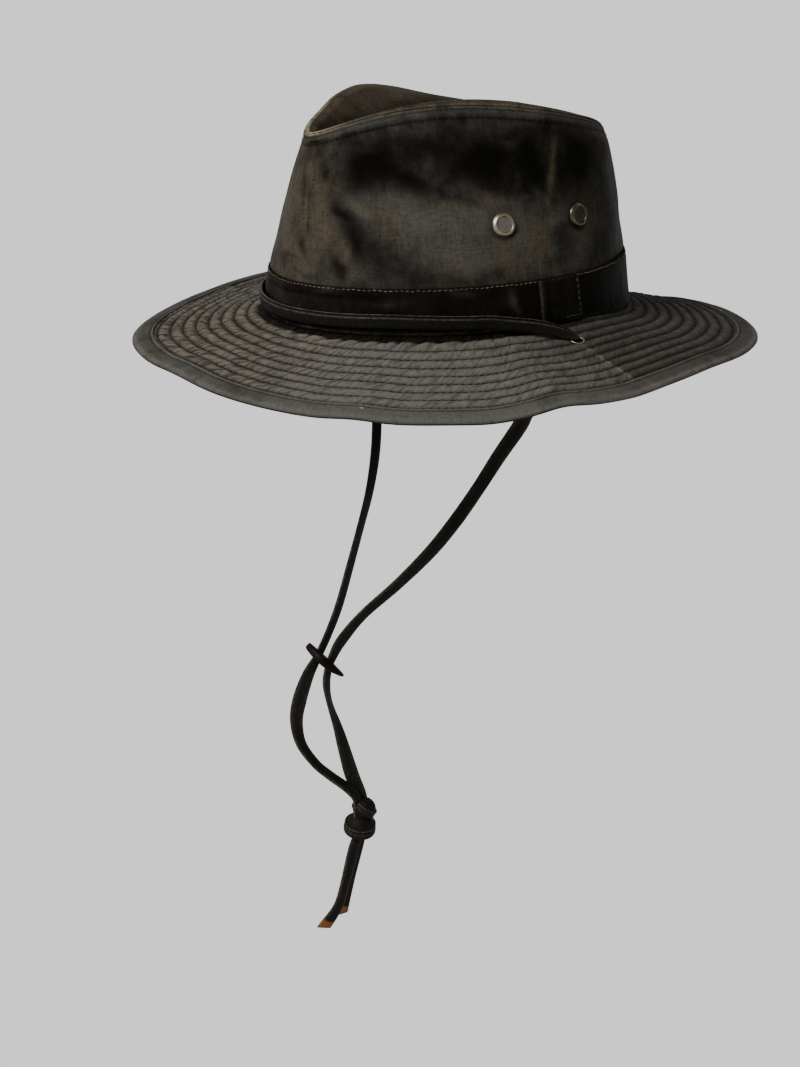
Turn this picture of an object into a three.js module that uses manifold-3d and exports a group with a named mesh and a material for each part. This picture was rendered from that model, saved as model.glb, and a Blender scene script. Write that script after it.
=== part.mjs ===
// Outdoor hat of weathered waxed cotton: pinched crown with a centre dent, plain cloth band,
// quilted brim with a bound edge, brass screen vents, and a chin lace with a slider and a knot.
// Millimetres, +Z up. The front is -Y and the wearer's left is +X.
// The origin is the centre of the head opening, level with the seam of crown and brim.

import * as THREE from 'three';
import { mergeVertices } from 'three/addons/utils/BufferGeometryUtils.js';
import Module from 'manifold-3d';

const wasm = await Module();
wasm.setup();

const DEGREE = Math.PI / 180;
const ROUND_STEPS = 60;
const GAP = 0.3;
const SMALL_TURN = 0.004;
const SMALL_MOVE = 1;

// Crown: head oval at the seam, and the outline of its top edge
const HEAD = { halfLength: 102, halfWidth: 82.3 };
const CLOTH = 1.8;
const CROWN_FOOT = 2.6;
const RIM = { frontReach: 89.6, backReach: 86.6, halfWidth: 58.6, taper: 0.48, squareness: 1.78 };
const RIM_HEIGHT = [
  { order: 0, cosine: 95.9, sine: 0 },
  { order: 1, cosine: 8.0, sine: 0 },
  { order: 2, cosine: -8.6, sine: 0 },
  { order: 3, cosine: -1.3, sine: 0 },
  { order: 4, cosine: -0.7, sine: 0 },
];
// How late the wall leans in: 1 is a straight slope, more stays upright for longer
const LEAN = { front: 1.44, back: 0.955 };
const WALL_ROWS_OUT = [0, 0.24, 0.48, 0.7, 0.87, 1];
const WALL_ROWS_IN = [1, 0.78, 0.5, 0.2];

// Crown tip: a rounded lip over the seam, then the fall to the floor of the dent
const LIP = [
  { inward: 0.2, rise: GAP },
  { inward: 0.1, rise: 0.9 },
  { inward: 0.9, rise: 1.4 },
  { inward: 2.8, rise: 1.4 },
  { inward: 5.6, rise: 0.2 },
];
const LIP_UNDERSIDE = { inward: 2.6, rise: GAP + 0.05 };
const DENT = { centre: -6, halfLength: 58, depthHeight: 78.5, frontRise: 4.5, fall: 1.6 };
const DENT_ROWS = [0.18, 0.4, 0.68, 1];

// Band and its tab, on the outside of the crown wall
const BAND = { bottom: 0.6, top: 22.5, cloth: 1.0, belly: 0.2 };
const TAB = { angle: 92, halfAngle: 7.8, bottom: 1.2, top: 21.6, cloth: 0.8, steps: 4 };

// Brim: width of the flat cloth ring, its quilting and its bound edge
const BRIM = { halfLength: 169.5, halfWidth: 149.9, width: 67.3, cloth: 2.2, droop: 0.8 };
const BRIM_UNDER_ROWS = [43, 20, 0];
const EDGE_HEIGHT = [
  { order: 0, cosine: -19.5, sine: 0 },
  { order: 1, cosine: 2.9, sine: -4.6 },
  { order: 2, cosine: -2.7, sine: -3.2 },
  { order: 3, cosine: 2.1, sine: 0.8 },
  { order: 4, cosine: 1.8, sine: -0.8 },
  { order: 5, cosine: -0.6, sine: -0.2 },
];
const EDGE_RIPPLES = [
  { angle: 37, spread: 5, rise: 1.3 },
  { angle: 59, spread: 5, rise: -1.2 },
  { angle: 71.5, spread: 4.5, rise: 2.4 },
  { angle: 87, spread: 5, rise: -0.9 },
];
const QUILTING = { firstRow: 3.1, pitch: 6.45, rows: 9, puff: 0.8 };
const BINDING = { start: 56.6, cloth: 1.0, edge: 0.7, coreTop: -0.35, coreBottom: -1.55, coreEnd: 65.7 };

// Screen vents, two on each side of the crown
const VENT = { forward: 22.5, height: 50, hole: 5.2, barrel: 4.9, bore: 4.0, flange: 6.1, inside: 0.6 };
const VENT_EDGE = { outer: 0.5, crest: 1.2 };
const SCREEN = { radius: 3.7, thick: 0.5 };
const VENT_SIDES = 10;
const VENT_SEARCH = { from: 30, to: 150, passes: 30 };
const DRILL = { ventLength: 12, laceLength: 16 };

// Chin lace: the stretch round the crown front, its two holes in the brim and the free strands
const LACE = { width: 6.4, thick: 1.9, holeWidth: 4.2, out: 2.85 };
const LACE_FRONT = [
  { angle: 0, height: 6.6 },
  { angle: 20, height: 6.7 },
  { angle: 38, height: 7.2 },
  { angle: 52, height: 6.3 },
  { angle: 68, height: 4.9 },
];
const LACE_FRONT_STEPS = 12;
const LACE_EXIT = [
  { angle: 74, out: 4.2, above: 6.3, tilt: 8, width: 6.4 },
  { angle: 80, out: 7.0, above: 5.4, tilt: 32, width: 6.2 },
  { angle: 85, out: 11.4, above: 4.6, tilt: 68, width: 5.6 },
  { angle: 88.3, out: 14.5, above: 4.3, tilt: 90, width: 4.8 },
];
const LACE_IN_HOLE = [3.0, 0.2, -2.7];
const HOLE = { fromSeam: 14.9, cut: 3.9, barrel: 3.6, bore: 2.9, flange: 4.6, sides: 12, leadOut: 5 };
const EYELET = { lip: 0.4, below: 0.4 };

const STRAND = { radius: 2.5, sides: 8, steps: 23 };
const TAIL = { radius: 2.1, sides: 8, steps: 5 };
const LEFT_STRAND = [
  [91.9, -0.1, -20],
  [85, -0.2, -27],
  [76.5, -0.3, -34.5],
  [68.2, -0.5, -42.5],
  [62.2, -0.8, -50],
  [58, -1.4, -58],
  [49.7, -7.9, -74],
  [42.4, -14.9, -91],
  [35.7, -24.5, -108],
  [28.9, -36.2, -124],
  [20.2, -50, -141],
  [10.6, -65, -157],
  [5.0, -74.5, -170],
  [1.8, -78.8, -178],
  [0, -80.8, -184.8],
  [-0.9, -82.6, -194],
  [-0.3, -81.3, -205.3],
  [1.2, -77.4, -219.3],
  [2.5, -74, -233.1],
  [3.7, -70.8, -247.2],
  [4.4, -68.4, -259.5],
];
const RIGHT_STRAND = [
  [-94.6, -0.1, -16],
  [-90.3, -0.1, -21.7],
  [-84, -0.2, -28],
  [-76, -0.3, -35.3],
  [-68, -0.5, -43],
  [-62.1, -0.8, -50.3],
  [-58, -1.4, -58],
  [-49.7, -7.9, -74],
  [-42.4, -14.9, -91],
  [-35.7, -24.5, -108],
  [-28.9, -36.2, -124],
  [-20.2, -50, -141],
  [-11.0, -65.5, -157],
  [-6.6, -77, -169.5],
  [-3.9, -85.8, -178.6],
  [-5.3, -91.8, -188],
  [-6.2, -97, -201],
  [-6.2, -98.9, -212.5],
  [-4.6, -96.9, -225],
  [-1.3, -90.4, -236.8],
  [2.1, -83.2, -244.4],
  [5.5, -75.9, -252.6],
  [6.9, -72.6, -259.5],
];
const SHORT_TAIL = [
  [4.6, -67.6, -278.5],
  [3.9, -69.0, -286],
  [2.7, -71.8, -302.5],
  [1.8, -74.2, -323],
];
const LONG_TAIL = [
  [7.6, -72.2, -278.5],
  [7.2, -73.6, -286],
  [5.5, -77.5, -304.5],
  [1.8, -87.2, -328.5],
];
const SLIDER = { centre: [-1.9, -83.3, -181.7], length: 25, width: 16, thick: 4, edge: 0.8, sides: 16 };
const SLIDER_LONG = [0.625, 0.459, -0.63];
const SLIDER_ACROSS = [0.741, -0.603, 0.296];
const KNOT_FACETS = { around: 10, down: 8 };
const KNOT_LOBES = [
  { centre: [6.4, -68.6, -265.6], half: [7.4, 7.6, 7.2] },
  { centre: [6.2, -69.4, -274.8], half: [8.4, 7.8, 5.6] },
];

const COLOURS = {
  cloth: 0x2a251d,
  brim: 0x39332b,
  binding: 0x34342f,
  lace: 0x15110d,
  slider: 0x2c190f,
  brass: 0x8f8a66,
  screen: 0x4a4740,
};

// Points and directions

function vec(x, y, z) {
  return new THREE.Vector3(x, y, z);
}

function series(rows, angle) {
  let sum = 0;
  for (const row of rows) {
    sum += row.cosine * Math.cos(row.order * angle);
    sum += row.sine * Math.sin(row.order * angle);
  }
  return sum;
}

function signedPower(value, power) {
  return Math.sign(value) * Math.abs(value) ** power;
}

function ringAngle(step) {
  return (2 * Math.PI * step) / ROUND_STEPS;
}

// Crown surfaces

function rimPoint(angle) {
  const cosine = Math.cos(angle);
  const across = signedPower(Math.sin(angle), 2 / RIM.squareness);
  const along = signedPower(cosine, 2 / RIM.squareness);
  const reach = cosine > 0 ? RIM.frontReach : RIM.backReach;
  return vec(
    RIM.halfWidth * across * (1 - RIM.taper * cosine),
    -reach * along,
    series(RIM_HEIGHT, angle),
  );
}

function headPoint(angle) {
  return vec(HEAD.halfWidth * Math.sin(angle), -HEAD.halfLength * Math.cos(angle), 0);
}

function wallPoint(angle, share) {
  const base = headPoint(angle);
  const rim = rimPoint(angle);
  const lean = LEAN.front + ((LEAN.back - LEAN.front) * (1 - Math.cos(angle))) / 2;
  const move = Math.max(share, 0) ** lean;
  return vec(
    base.x + (rim.x - base.x) * move,
    base.y + (rim.y - base.y) * move,
    rim.z * share,
  );
}

function wallNormal(angle, share) {
  const low = Math.max(share - SMALL_TURN, 0);
  const along = wallPoint(angle + SMALL_TURN, share).sub(wallPoint(angle - SMALL_TURN, share));
  const up = wallPoint(angle, low + 2 * SMALL_TURN).sub(wallPoint(angle, low));
  return along.cross(up).normalize();
}

function onWall(angle, share, out) {
  return wallPoint(angle, share).addScaledVector(wallNormal(angle, share), out);
}

function shareAtHeight(angle, height) {
  return height / rimPoint(angle).z;
}

function valleyPoint(angle) {
  const turn = Math.abs(Math.atan2(Math.sin(angle), Math.cos(angle)));
  const evenSpacing = 1 - (2 * turn) / Math.PI;
  const place = (Math.cos(turn) + evenSpacing) / 2;
  return vec(
    0,
    DENT.centre - DENT.halfLength * place,
    DENT.depthHeight + DENT.frontRise * Math.cos(turn),
  );
}

function towardsValley(angle) {
  const way = valleyPoint(angle).sub(rimPoint(angle));
  return way.setZ(0).normalize();
}

function lipPoint(angle, row) {
  const point = rimPoint(angle).addScaledVector(towardsValley(angle), row.inward);
  point.z += row.rise;
  return point;
}

function dentPoint(angle, share, depth) {
  const start = lipPoint(angle, LIP[LIP.length - 1]);
  const valley = valleyPoint(angle);
  const drop = start.z - valley.z;
  const run = Math.hypot(valley.x - start.x, valley.y - start.y);
  const point = start.clone().lerp(valley, share);
  point.z = valley.z + drop * (1 - share) ** DENT.fall;
  const slope = Math.atan((DENT.fall * drop * (1 - share) ** (DENT.fall - 1)) / run);
  point.addScaledVector(towardsValley(angle), -depth * Math.sin(slope));
  point.z -= depth * Math.cos(slope);
  return point;
}

// Brim surface: distance from the seam, and height above the cloth's top

function edgeHeight(angle) {
  let height = series(EDGE_HEIGHT, angle);
  for (const ripple of EDGE_RIPPLES) {
    const away = (angle / DEGREE - ripple.angle) / ripple.spread;
    height += ripple.rise * Math.exp(-away * away);
  }
  return height;
}

function brimPoint(angle, fromSeam, rise) {
  const share = fromSeam / BRIM.width;
  const halfWidth = THREE.MathUtils.lerp(HEAD.halfWidth + GAP, BRIM.halfWidth, share);
  const halfLength = THREE.MathUtils.lerp(HEAD.halfLength + GAP, BRIM.halfLength, share);
  return vec(
    halfWidth * Math.sin(angle),
    -halfLength * Math.cos(angle),
    edgeHeight(angle) * share ** BRIM.droop + rise,
  );
}

function brimNormal(angle, fromSeam) {
  const further = brimPoint(angle + SMALL_TURN, fromSeam, 0);
  const along = further.sub(brimPoint(angle - SMALL_TURN, fromSeam, 0));
  const outer = brimPoint(angle, fromSeam + SMALL_MOVE, 0);
  const outward = outer.sub(brimPoint(angle, fromSeam - SMALL_MOVE, 0));
  return outward.cross(along).normalize();
}

// Solids from rows of points

function facingOut(geometry) {
  const place = geometry.getAttribute('position');
  const index = geometry.getIndex();
  const corner = [vec(0, 0, 0), vec(0, 0, 0), vec(0, 0, 0)];
  let volume = 0;
  for (let i = 0; i < index.count; i += 3) {
    corner.forEach((point, k) => point.fromBufferAttribute(place, index.getX(i + k)));
    volume += corner[0].dot(corner[1].clone().cross(corner[2]));
  }
  if (volume < 0) {
    index.array.reverse();
  }
  geometry.computeVertexNormals();
  return geometry;
}

function solidFromRows(rows, { ring = false, loop = false, caps = false }) {
  const across = rows[0].length;
  const rowSpan = ring ? rows.length : rows.length - 1;
  const pointSpan = loop ? across : across - 1;
  const positions = rows.flat().flatMap((point) => [point.x, point.y, point.z]);
  const index = [];
  for (let r = 0; r < rowSpan; r += 1) {
    for (let k = 0; k < pointSpan; k += 1) {
      const a = r * across + k;
      const b = r * across + ((k + 1) % across);
      const c = ((r + 1) % rows.length) * across + ((k + 1) % across);
      const d = ((r + 1) % rows.length) * across + k;
      index.push(a, b, c, a, c, d);
    }
  }
  if (caps) {
    const last = (rows.length - 1) * across;
    for (let k = 1; k < across - 1; k += 1) {
      index.push(0, k + 1, k, last, last + k, last + k + 1);
    }
  }
  const geometry = new THREE.BufferGeometry();
  geometry.setAttribute('position', new THREE.Float32BufferAttribute(positions, 3));
  geometry.setIndex(index);
  return facingOut(mergeVertices(geometry, 1e-4));
}

function ringSolid(section) {
  const rows = [];
  for (let step = 0; step < ROUND_STEPS; step += 1) {
    rows.push(section(ringAngle(step)));
  }
  return solidFromRows(rows, { ring: true, loop: true });
}

// Cutting and joining

function toManifold(geometry) {
  const bare = geometry.clone();
  bare.deleteAttribute('normal');
  bare.deleteAttribute('uv');
  const merged = mergeVertices(bare, 1e-4);
  return new wasm.Manifold(
    new wasm.Mesh({
      numProp: 3,
      vertProperties: new Float32Array(merged.getAttribute('position').array),
      triVerts: new Uint32Array(merged.getIndex().array),
    }),
  );
}

function fromManifold(solid) {
  const mesh = solid.getMesh();
  const geometry = new THREE.BufferGeometry();
  geometry.setAttribute('position', new THREE.BufferAttribute(mesh.vertProperties, 3));
  geometry.setIndex(new THREE.BufferAttribute(mesh.triVerts, 1));
  geometry.computeVertexNormals();
  return geometry;
}

function cutBy(geometry, tools) {
  let solid = toManifold(geometry);
  for (const tool of tools) {
    solid = solid.subtract(toManifold(tool));
  }
  return fromManifold(solid);
}

// A round tool or fitting whose own Y axis stands on a surface

function standOn(point, normal) {
  const turn = new THREE.Quaternion().setFromUnitVectors(vec(0, 1, 0), normal);
  return new THREE.Matrix4().compose(point, turn, vec(1, 1, 1));
}

function drill(point, normal, radius, length) {
  const tool = new THREE.CylinderGeometry(radius, radius, length, VENT_SIDES);
  return tool.applyMatrix4(standOn(point, normal));
}

function turned(profile, sides) {
  const closed = [...profile, profile[0]].map(([radius, height]) => new THREE.Vector2(radius, height));
  return new THREE.LatheGeometry(closed, sides);
}

// Crown

function crownSide(tools) {
  const shell = ringSolid((angle) => {
    const outward = wallNormal(angle, 0).setZ(0).normalize();
    const foot = headPoint(angle).setZ(-CROWN_FOOT);
    const footIn = foot.clone().addScaledVector(outward, -CLOTH);
    const outside = WALL_ROWS_OUT.map((share) => onWall(angle, share, 0));
    const inside = WALL_ROWS_IN.map((share) => onWall(angle, share, -CLOTH));
    return [foot, ...outside, ...inside, footIn];
  });
  return cutBy(shell, tools);
}

function crownTip() {
  const top = [
    ...LIP.map((row) => (angle) => lipPoint(angle, row)),
    ...DENT_ROWS.map((share) => (angle) => dentPoint(angle, share, 0)),
  ];
  const underside = [
    ...[...DENT_ROWS].reverse().map((share) => (angle) => dentPoint(angle, share, CLOTH)),
    (angle) => dentPoint(angle, 0, CLOTH),
    (angle) => lipPoint(angle, LIP_UNDERSIDE),
  ];
  const rows = [...underside, ...top].map((pointAt) => {
    const row = [];
    for (let step = 0; step < ROUND_STEPS; step += 1) {
      row.push(pointAt(ringAngle(step)));
    }
    return row;
  });
  return solidFromRows(rows, { loop: true });
}

// Band and tab

function hatBand() {
  const inner = GAP;
  const outer = GAP + BAND.cloth;
  const middle = (BAND.bottom + BAND.top) / 2;
  return ringSolid((angle) => {
    const at = (height, out) => onWall(angle, shareAtHeight(angle, height), out);
    return [
      at(BAND.bottom, inner),
      at(BAND.bottom, outer),
      at(middle, outer + BAND.belly),
      at(BAND.top, outer),
      at(BAND.top, inner),
      at(middle, inner),
    ];
  });
}

function bandTab() {
  const inner = GAP + BAND.cloth + BAND.belly + GAP;
  const outer = inner + TAB.cloth;
  const rows = [];
  for (let step = 0; step <= TAB.steps; step += 1) {
    const angle = (TAB.angle + TAB.halfAngle * ((2 * step) / TAB.steps - 1)) * DEGREE;
    const at = (height, out) => onWall(angle, shareAtHeight(angle, height), out);
    rows.push([
      at(TAB.bottom, inner),
      at(TAB.bottom, outer),
      at(TAB.top, outer),
      at(TAB.top, inner),
    ]);
  }
  return solidFromRows(rows, { loop: true, caps: true });
}

// Brim and its bound edge

function brimSection() {
  const top = [[0, 0]];
  for (let row = 0; row < QUILTING.rows; row += 1) {
    const stitch = QUILTING.firstRow + row * QUILTING.pitch;
    top.push([stitch, 0]);
    if (row < QUILTING.rows - 1) {
      top.push([stitch + QUILTING.pitch / 2, QUILTING.puff]);
    }
  }
  const step = BINDING.start - GAP;
  const under = [step, ...BRIM_UNDER_ROWS];
  return [
    ...top,
    [step, 0],
    [step, BINDING.coreTop],
    [BINDING.coreEnd, BINDING.coreTop],
    [BINDING.coreEnd, BINDING.coreBottom],
    [step, BINDING.coreBottom],
    ...under.map((fromSeam) => [fromSeam, -BRIM.cloth]),
  ];
}

function brim(tools) {
  const section = brimSection();
  const ring = ringSolid((angle) => section.map(([fromSeam, rise]) => brimPoint(angle, fromSeam, rise)));
  return cutBy(ring, tools);
}

function brimBinding() {
  const innerTop = BINDING.coreTop + GAP;
  const innerBottom = BINDING.coreBottom - GAP;
  const middle = (innerTop + innerBottom) / 2;
  const innerEnd = BINDING.coreEnd + GAP;
  const section = [
    [BINDING.start, innerTop],
    [BINDING.start, innerTop + BINDING.cloth],
    [innerEnd, innerTop + BINDING.edge],
    [BRIM.width, middle],
    [innerEnd, innerBottom - BINDING.edge],
    [BINDING.start, innerBottom - BINDING.cloth],
    [BINDING.start, innerBottom],
    [innerEnd, innerBottom],
    [innerEnd, innerTop],
  ];
  return ringSolid((angle) => section.map(([fromSeam, rise]) => brimPoint(angle, fromSeam, rise)));
}

// Screen vents

function ventPlace(side, forward) {
  let low = VENT_SEARCH.from * DEGREE;
  let high = VENT_SEARCH.to * DEGREE;
  for (let pass = 0; pass < VENT_SEARCH.passes; pass += 1) {
    const angle = (low + high) / 2;
    if (wallPoint(angle, shareAtHeight(angle, VENT.height)).y < -forward) {
      low = angle;
    } else {
      high = angle;
    }
  }
  const angle = side * low;
  const share = shareAtHeight(angle, VENT.height);
  return { point: wallPoint(angle, share), normal: wallNormal(angle, share) };
}

function ventRing() {
  return turned(
    [
      [VENT.bore, -CLOTH - VENT.inside],
      [VENT.barrel, -CLOTH - VENT.inside],
      [VENT.barrel, GAP],
      [VENT.flange, GAP],
      [VENT.flange, GAP + VENT_EDGE.outer],
      [VENT.barrel, GAP + VENT_EDGE.crest],
      [VENT.bore, GAP + VENT_EDGE.outer],
    ],
    VENT_SIDES,
  );
}

function ventScreen() {
  return new THREE.CylinderGeometry(SCREEN.radius, SCREEN.radius, SCREEN.thick, VENT_SIDES);
}

// Holes of the chin lace in the brim

function holePlace(side) {
  const angle = side * 90 * DEGREE;
  return {
    point: brimPoint(angle, HOLE.fromSeam, 0),
    normal: brimNormal(angle, HOLE.fromSeam),
  };
}

function laceEyelet() {
  const foot = -BRIM.cloth - EYELET.below;
  const under = QUILTING.puff + GAP;
  const top = under + EYELET.lip;
  return turned(
    [
      [HOLE.bore, foot],
      [HOLE.barrel, foot],
      [HOLE.barrel, under],
      [HOLE.flange, under],
      [HOLE.flange, top],
      [HOLE.bore, top],
    ],
    HOLE.sides,
  );
}

// Lace round the crown front: a flat strap with its own width direction at each section

function laceHeight(degrees) {
  const after = LACE_FRONT.findIndex((row) => row.angle >= degrees);
  const high = LACE_FRONT[Math.max(after, 1)];
  const low = LACE_FRONT[Math.max(after, 1) - 1];
  return THREE.MathUtils.mapLinear(degrees, low.angle, high.angle, low.height, high.height);
}

function laceSections() {
  const half = [];
  const lastAngle = LACE_FRONT[LACE_FRONT.length - 1].angle;
  for (let step = 0; step <= LACE_FRONT_STEPS; step += 1) {
    const degrees = (lastAngle * step) / LACE_FRONT_STEPS;
    const angle = degrees * DEGREE;
    const centre = onWall(angle, shareAtHeight(angle, laceHeight(degrees)), LACE.out);
    half.push({ centre, wide: vec(0, 0, 1), width: LACE.width });
  }
  for (const row of LACE_EXIT) {
    const angle = row.angle * DEGREE;
    const centre = brimPoint(angle, row.out, row.above);
    const tilt = row.tilt * DEGREE;
    const outward = wallNormal(angle, 0).setZ(0).normalize();
    const wide = vec(0, 0, Math.cos(tilt)).addScaledVector(outward, Math.sin(tilt));
    half.push({ centre, wide, width: row.width });
  }
  return half;
}

function laceHalf(side) {
  const rows = laceSections().map((row) => {
    const mirror = vec(side, 1, 1);
    return { centre: row.centre.multiply(mirror), wide: row.wide.multiply(mirror), width: row.width };
  });
  rows.forEach((row, k) => {
    const exit = LACE_EXIT[k - LACE_FRONT_STEPS - 1];
    if (exit) {
      row.centre.z = brimPoint(side * exit.angle * DEGREE, exit.out, exit.above).z;
    }
  });
  const hole = holePlace(side);
  for (const rise of LACE_IN_HOLE) {
    const centre = hole.point.clone().addScaledVector(hole.normal, rise);
    rows.push({ centre, wide: vec(side, 0, 0), width: LACE.holeWidth });
  }
  return rows;
}

function crownLace() {
  const left = laceHalf(1);
  const right = laceHalf(-1).slice(1).reverse();
  const rows = [...right, ...left];
  const corners = rows.map((row, k) => {
    const before = rows[Math.max(k - 1, 0)].centre;
    const after = rows[Math.min(k + 1, rows.length - 1)].centre;
    const along = after.clone().sub(before).normalize();
    const wide = row.wide.clone().addScaledVector(along, -row.wide.dot(along)).normalize();
    const flat = along.clone().cross(wide);
    return [[-1, -1], [1, -1], [1, 1], [-1, 1]].map(([u, v]) => row.centre
      .clone()
      .addScaledVector(wide, (u * row.width) / 2)
      .addScaledVector(flat, (v * LACE.thick) / 2));
  });
  return solidFromRows(corners, { loop: true, caps: true });
}

// Free strands

function tube(route, { radius, sides, steps }) {
  const section = new THREE.Shape();
  for (let k = 0; k < sides; k += 1) {
    const turn = (2 * Math.PI * k) / sides;
    const place = [radius * Math.cos(turn), radius * Math.sin(turn)];
    if (k === 0) {
      section.moveTo(...place);
    } else {
      section.lineTo(...place);
    }
  }
  section.closePath();
  const extrudePath = new THREE.CatmullRomCurve3(route.map((point) => vec(...point)));
  const body = new THREE.ExtrudeGeometry(section, { steps, extrudePath, bevelEnabled: false });
  body.deleteAttribute('normal');
  body.deleteAttribute('uv');
  return facingOut(mergeVertices(body, 1e-4));
}

function fatter(size) {
  return { ...size, radius: size.radius + GAP };
}

function belowHole(side, route) {
  const hole = holePlace(side);
  const lowest = LACE_IN_HOLE[LACE_IN_HOLE.length - 1] - GAP;
  const straight = [lowest, lowest - HOLE.leadOut / 2, lowest - HOLE.leadOut];
  const start = straight.map((rise) => hole.point.clone().addScaledVector(hole.normal, rise).toArray());
  return [...start, ...route];
}

function strapSlider(tools) {
  const { length, width, thick, edge, sides } = SLIDER;
  const disc = new THREE.LatheGeometry(
    [
      new THREE.Vector2(0, -thick / 2),
      new THREE.Vector2(length / 2 - edge, -thick / 2),
      new THREE.Vector2(length / 2, 0),
      new THREE.Vector2(length / 2 - edge, thick / 2),
      new THREE.Vector2(0, thick / 2),
    ],
    sides,
  );
  disc.scale(1, 1, width / length);
  const long = vec(...SLIDER_LONG).normalize();
  const across = vec(...SLIDER_ACROSS);
  across.addScaledVector(long, -across.dot(long)).normalize();
  const through = across.clone().cross(long);
  disc.applyMatrix4(new THREE.Matrix4().makeBasis(long, through, across).setPosition(...SLIDER.centre));
  return cutBy(disc, tools);
}

function strapKnot(tools) {
  const lobes = KNOT_LOBES.map((lobe) => {
    const ball = new THREE.SphereGeometry(1, KNOT_FACETS.around, KNOT_FACETS.down);
    ball.scale(...lobe.half);
    ball.translate(...lobe.centre);
    return toManifold(ball);
  });
  return cutBy(fromManifold(lobes[0].add(lobes[1])), tools);
}

// Assembly

const group = new THREE.Group();

function material(colour, roughness, metalness = 0) {
  return new THREE.MeshStandardMaterial({ color: colour, roughness, metalness });
}

function addPiece(name, geometry, look, placement) {
  const mesh = new THREE.Mesh(geometry, look);
  mesh.name = name;
  if (placement) {
    mesh.applyMatrix4(placement);
  }
  group.add(mesh);
}

const vents = [];
for (const [side, sideName] of [[1, 'left'], [-1, 'right']]) {
  for (const [forward, endName] of [[VENT.forward, 'front'], [-VENT.forward, 'back']]) {
    vents.push({ name: `${sideName}_${endName}`, ...ventPlace(side, forward) });
  }
}
const holes = [[1, 'left'], [-1, 'right']].map(([side, name]) => ({ name, ...holePlace(side) }));

const ventCuts = vents.map(({ point, normal }) => drill(point, normal, VENT.hole, DRILL.ventLength));
const holeCuts = holes.map(({ point, normal }) => drill(point, normal, HOLE.cut, DRILL.laceLength));
addPiece('crown_side', crownSide(ventCuts), material(COLOURS.cloth, 0.7));
addPiece('crown_tip', crownTip(), material(COLOURS.cloth, 0.7));
addPiece('hat_band', hatBand(), material(COLOURS.cloth, 0.65));
addPiece('band_tab', bandTab(), material(COLOURS.cloth, 0.6));
addPiece('brim', brim(holeCuts), material(COLOURS.brim, 0.75));
addPiece('brim_binding', brimBinding(), material(COLOURS.binding, 0.65));

for (const vent of vents) {
  const placement = standOn(vent.point, vent.normal);
  addPiece(`vent_ring_${vent.name}`, ventRing(), material(COLOURS.brass, 0.35, 1), placement);
  addPiece(`vent_screen_${vent.name}`, ventScreen(), material(COLOURS.screen, 0.5, 1), placement);
}
for (const hole of holes) {
  const placement = standOn(hole.point, hole.normal);
  addPiece(`lace_eyelet_${hole.name}`, laceEyelet(), material(COLOURS.brass, 0.35, 1), placement);
}

const leftRoute = belowHole(1, LEFT_STRAND);
const rightRoute = belowHole(-1, RIGHT_STRAND);
const strands = [tube(leftRoute, fatter(STRAND)), tube(rightRoute, fatter(STRAND))];
const tails = [tube(SHORT_TAIL, fatter(TAIL)), tube(LONG_TAIL, fatter(TAIL))];
addPiece('crown_lace', crownLace(), material(COLOURS.lace, 0.55));
addPiece('strap_left', tube(leftRoute, STRAND), material(COLOURS.lace, 0.55));
addPiece('strap_right', tube(rightRoute, STRAND), material(COLOURS.lace, 0.55));
addPiece('strap_slider', strapSlider(strands), material(COLOURS.slider, 0.5));
addPiece('strap_knot', strapKnot([...strands, ...tails]), material(COLOURS.lace, 0.55));
addPiece('strap_tail_short', tube(SHORT_TAIL, TAIL), material(COLOURS.lace, 0.55));
addPiece('strap_tail_long', tube(LONG_TAIL, TAIL), material(COLOURS.lace, 0.55));

export default group;
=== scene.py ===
"""Outdoor hat of weathered waxed cotton with a quilted brim, screened vents and a chin lace.

Sizes in the tables are millimetres in the hat's own frame: +Z up, the front at -Y and the
wearer's left at +X. Tables in metres say so.
"""

import math

import bmesh
import bpy
import numpy as np
from mathutils import Matrix, Vector


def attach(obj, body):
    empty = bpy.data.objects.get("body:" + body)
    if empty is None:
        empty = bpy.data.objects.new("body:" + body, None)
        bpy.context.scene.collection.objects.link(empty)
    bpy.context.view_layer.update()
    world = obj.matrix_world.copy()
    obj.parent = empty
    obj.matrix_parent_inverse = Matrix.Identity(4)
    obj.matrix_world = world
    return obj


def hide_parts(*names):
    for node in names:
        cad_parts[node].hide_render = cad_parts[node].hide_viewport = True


bl_info = {
    "name": "Outdoor hat",
    "version": (1, 0, 0),
    "blender": (4, 5, 0),
    "location": "View3D > Sidebar > Hat",
    "description": "Builds a weathered outdoor hat with a quilted brim and a chin lace",
    "category": "Add Mesh",
}

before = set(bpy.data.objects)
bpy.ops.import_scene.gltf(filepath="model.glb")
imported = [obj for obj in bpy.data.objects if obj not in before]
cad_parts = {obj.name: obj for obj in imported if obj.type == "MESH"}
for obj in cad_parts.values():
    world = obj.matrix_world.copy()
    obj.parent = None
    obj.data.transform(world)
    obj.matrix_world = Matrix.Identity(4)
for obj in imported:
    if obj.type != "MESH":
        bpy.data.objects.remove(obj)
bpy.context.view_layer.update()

MM = 0.001
# Gap left between sewn pieces
GAP = 0.3

# Crown: head oval at the seam, outline of the top edge, and how late the wall leans in
HEAD = {"half_length": 102.0, "half_width": 82.3}
CROWN_CLOTH = 1.8
CROWN_FOOT = 2.6
RIM = {"front_reach": 89.6, "back_reach": 86.6, "half_width": 58.6}
RIM_SHAPE = {"taper": 0.48, "squareness": 1.78}
RIM_HEIGHT = ((95.9, 0.0), (8.0, 0.0), (-8.6, 0.0), (-1.3, 0.0), (-0.7, 0.0))
LEAN = {"front": 1.44, "back": 0.955}
DENT = {"centre": -6.0, "half_length": 58.0, "depth_height": 78.5, "front_rise": 4.5, "fall": 1.6}

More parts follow.
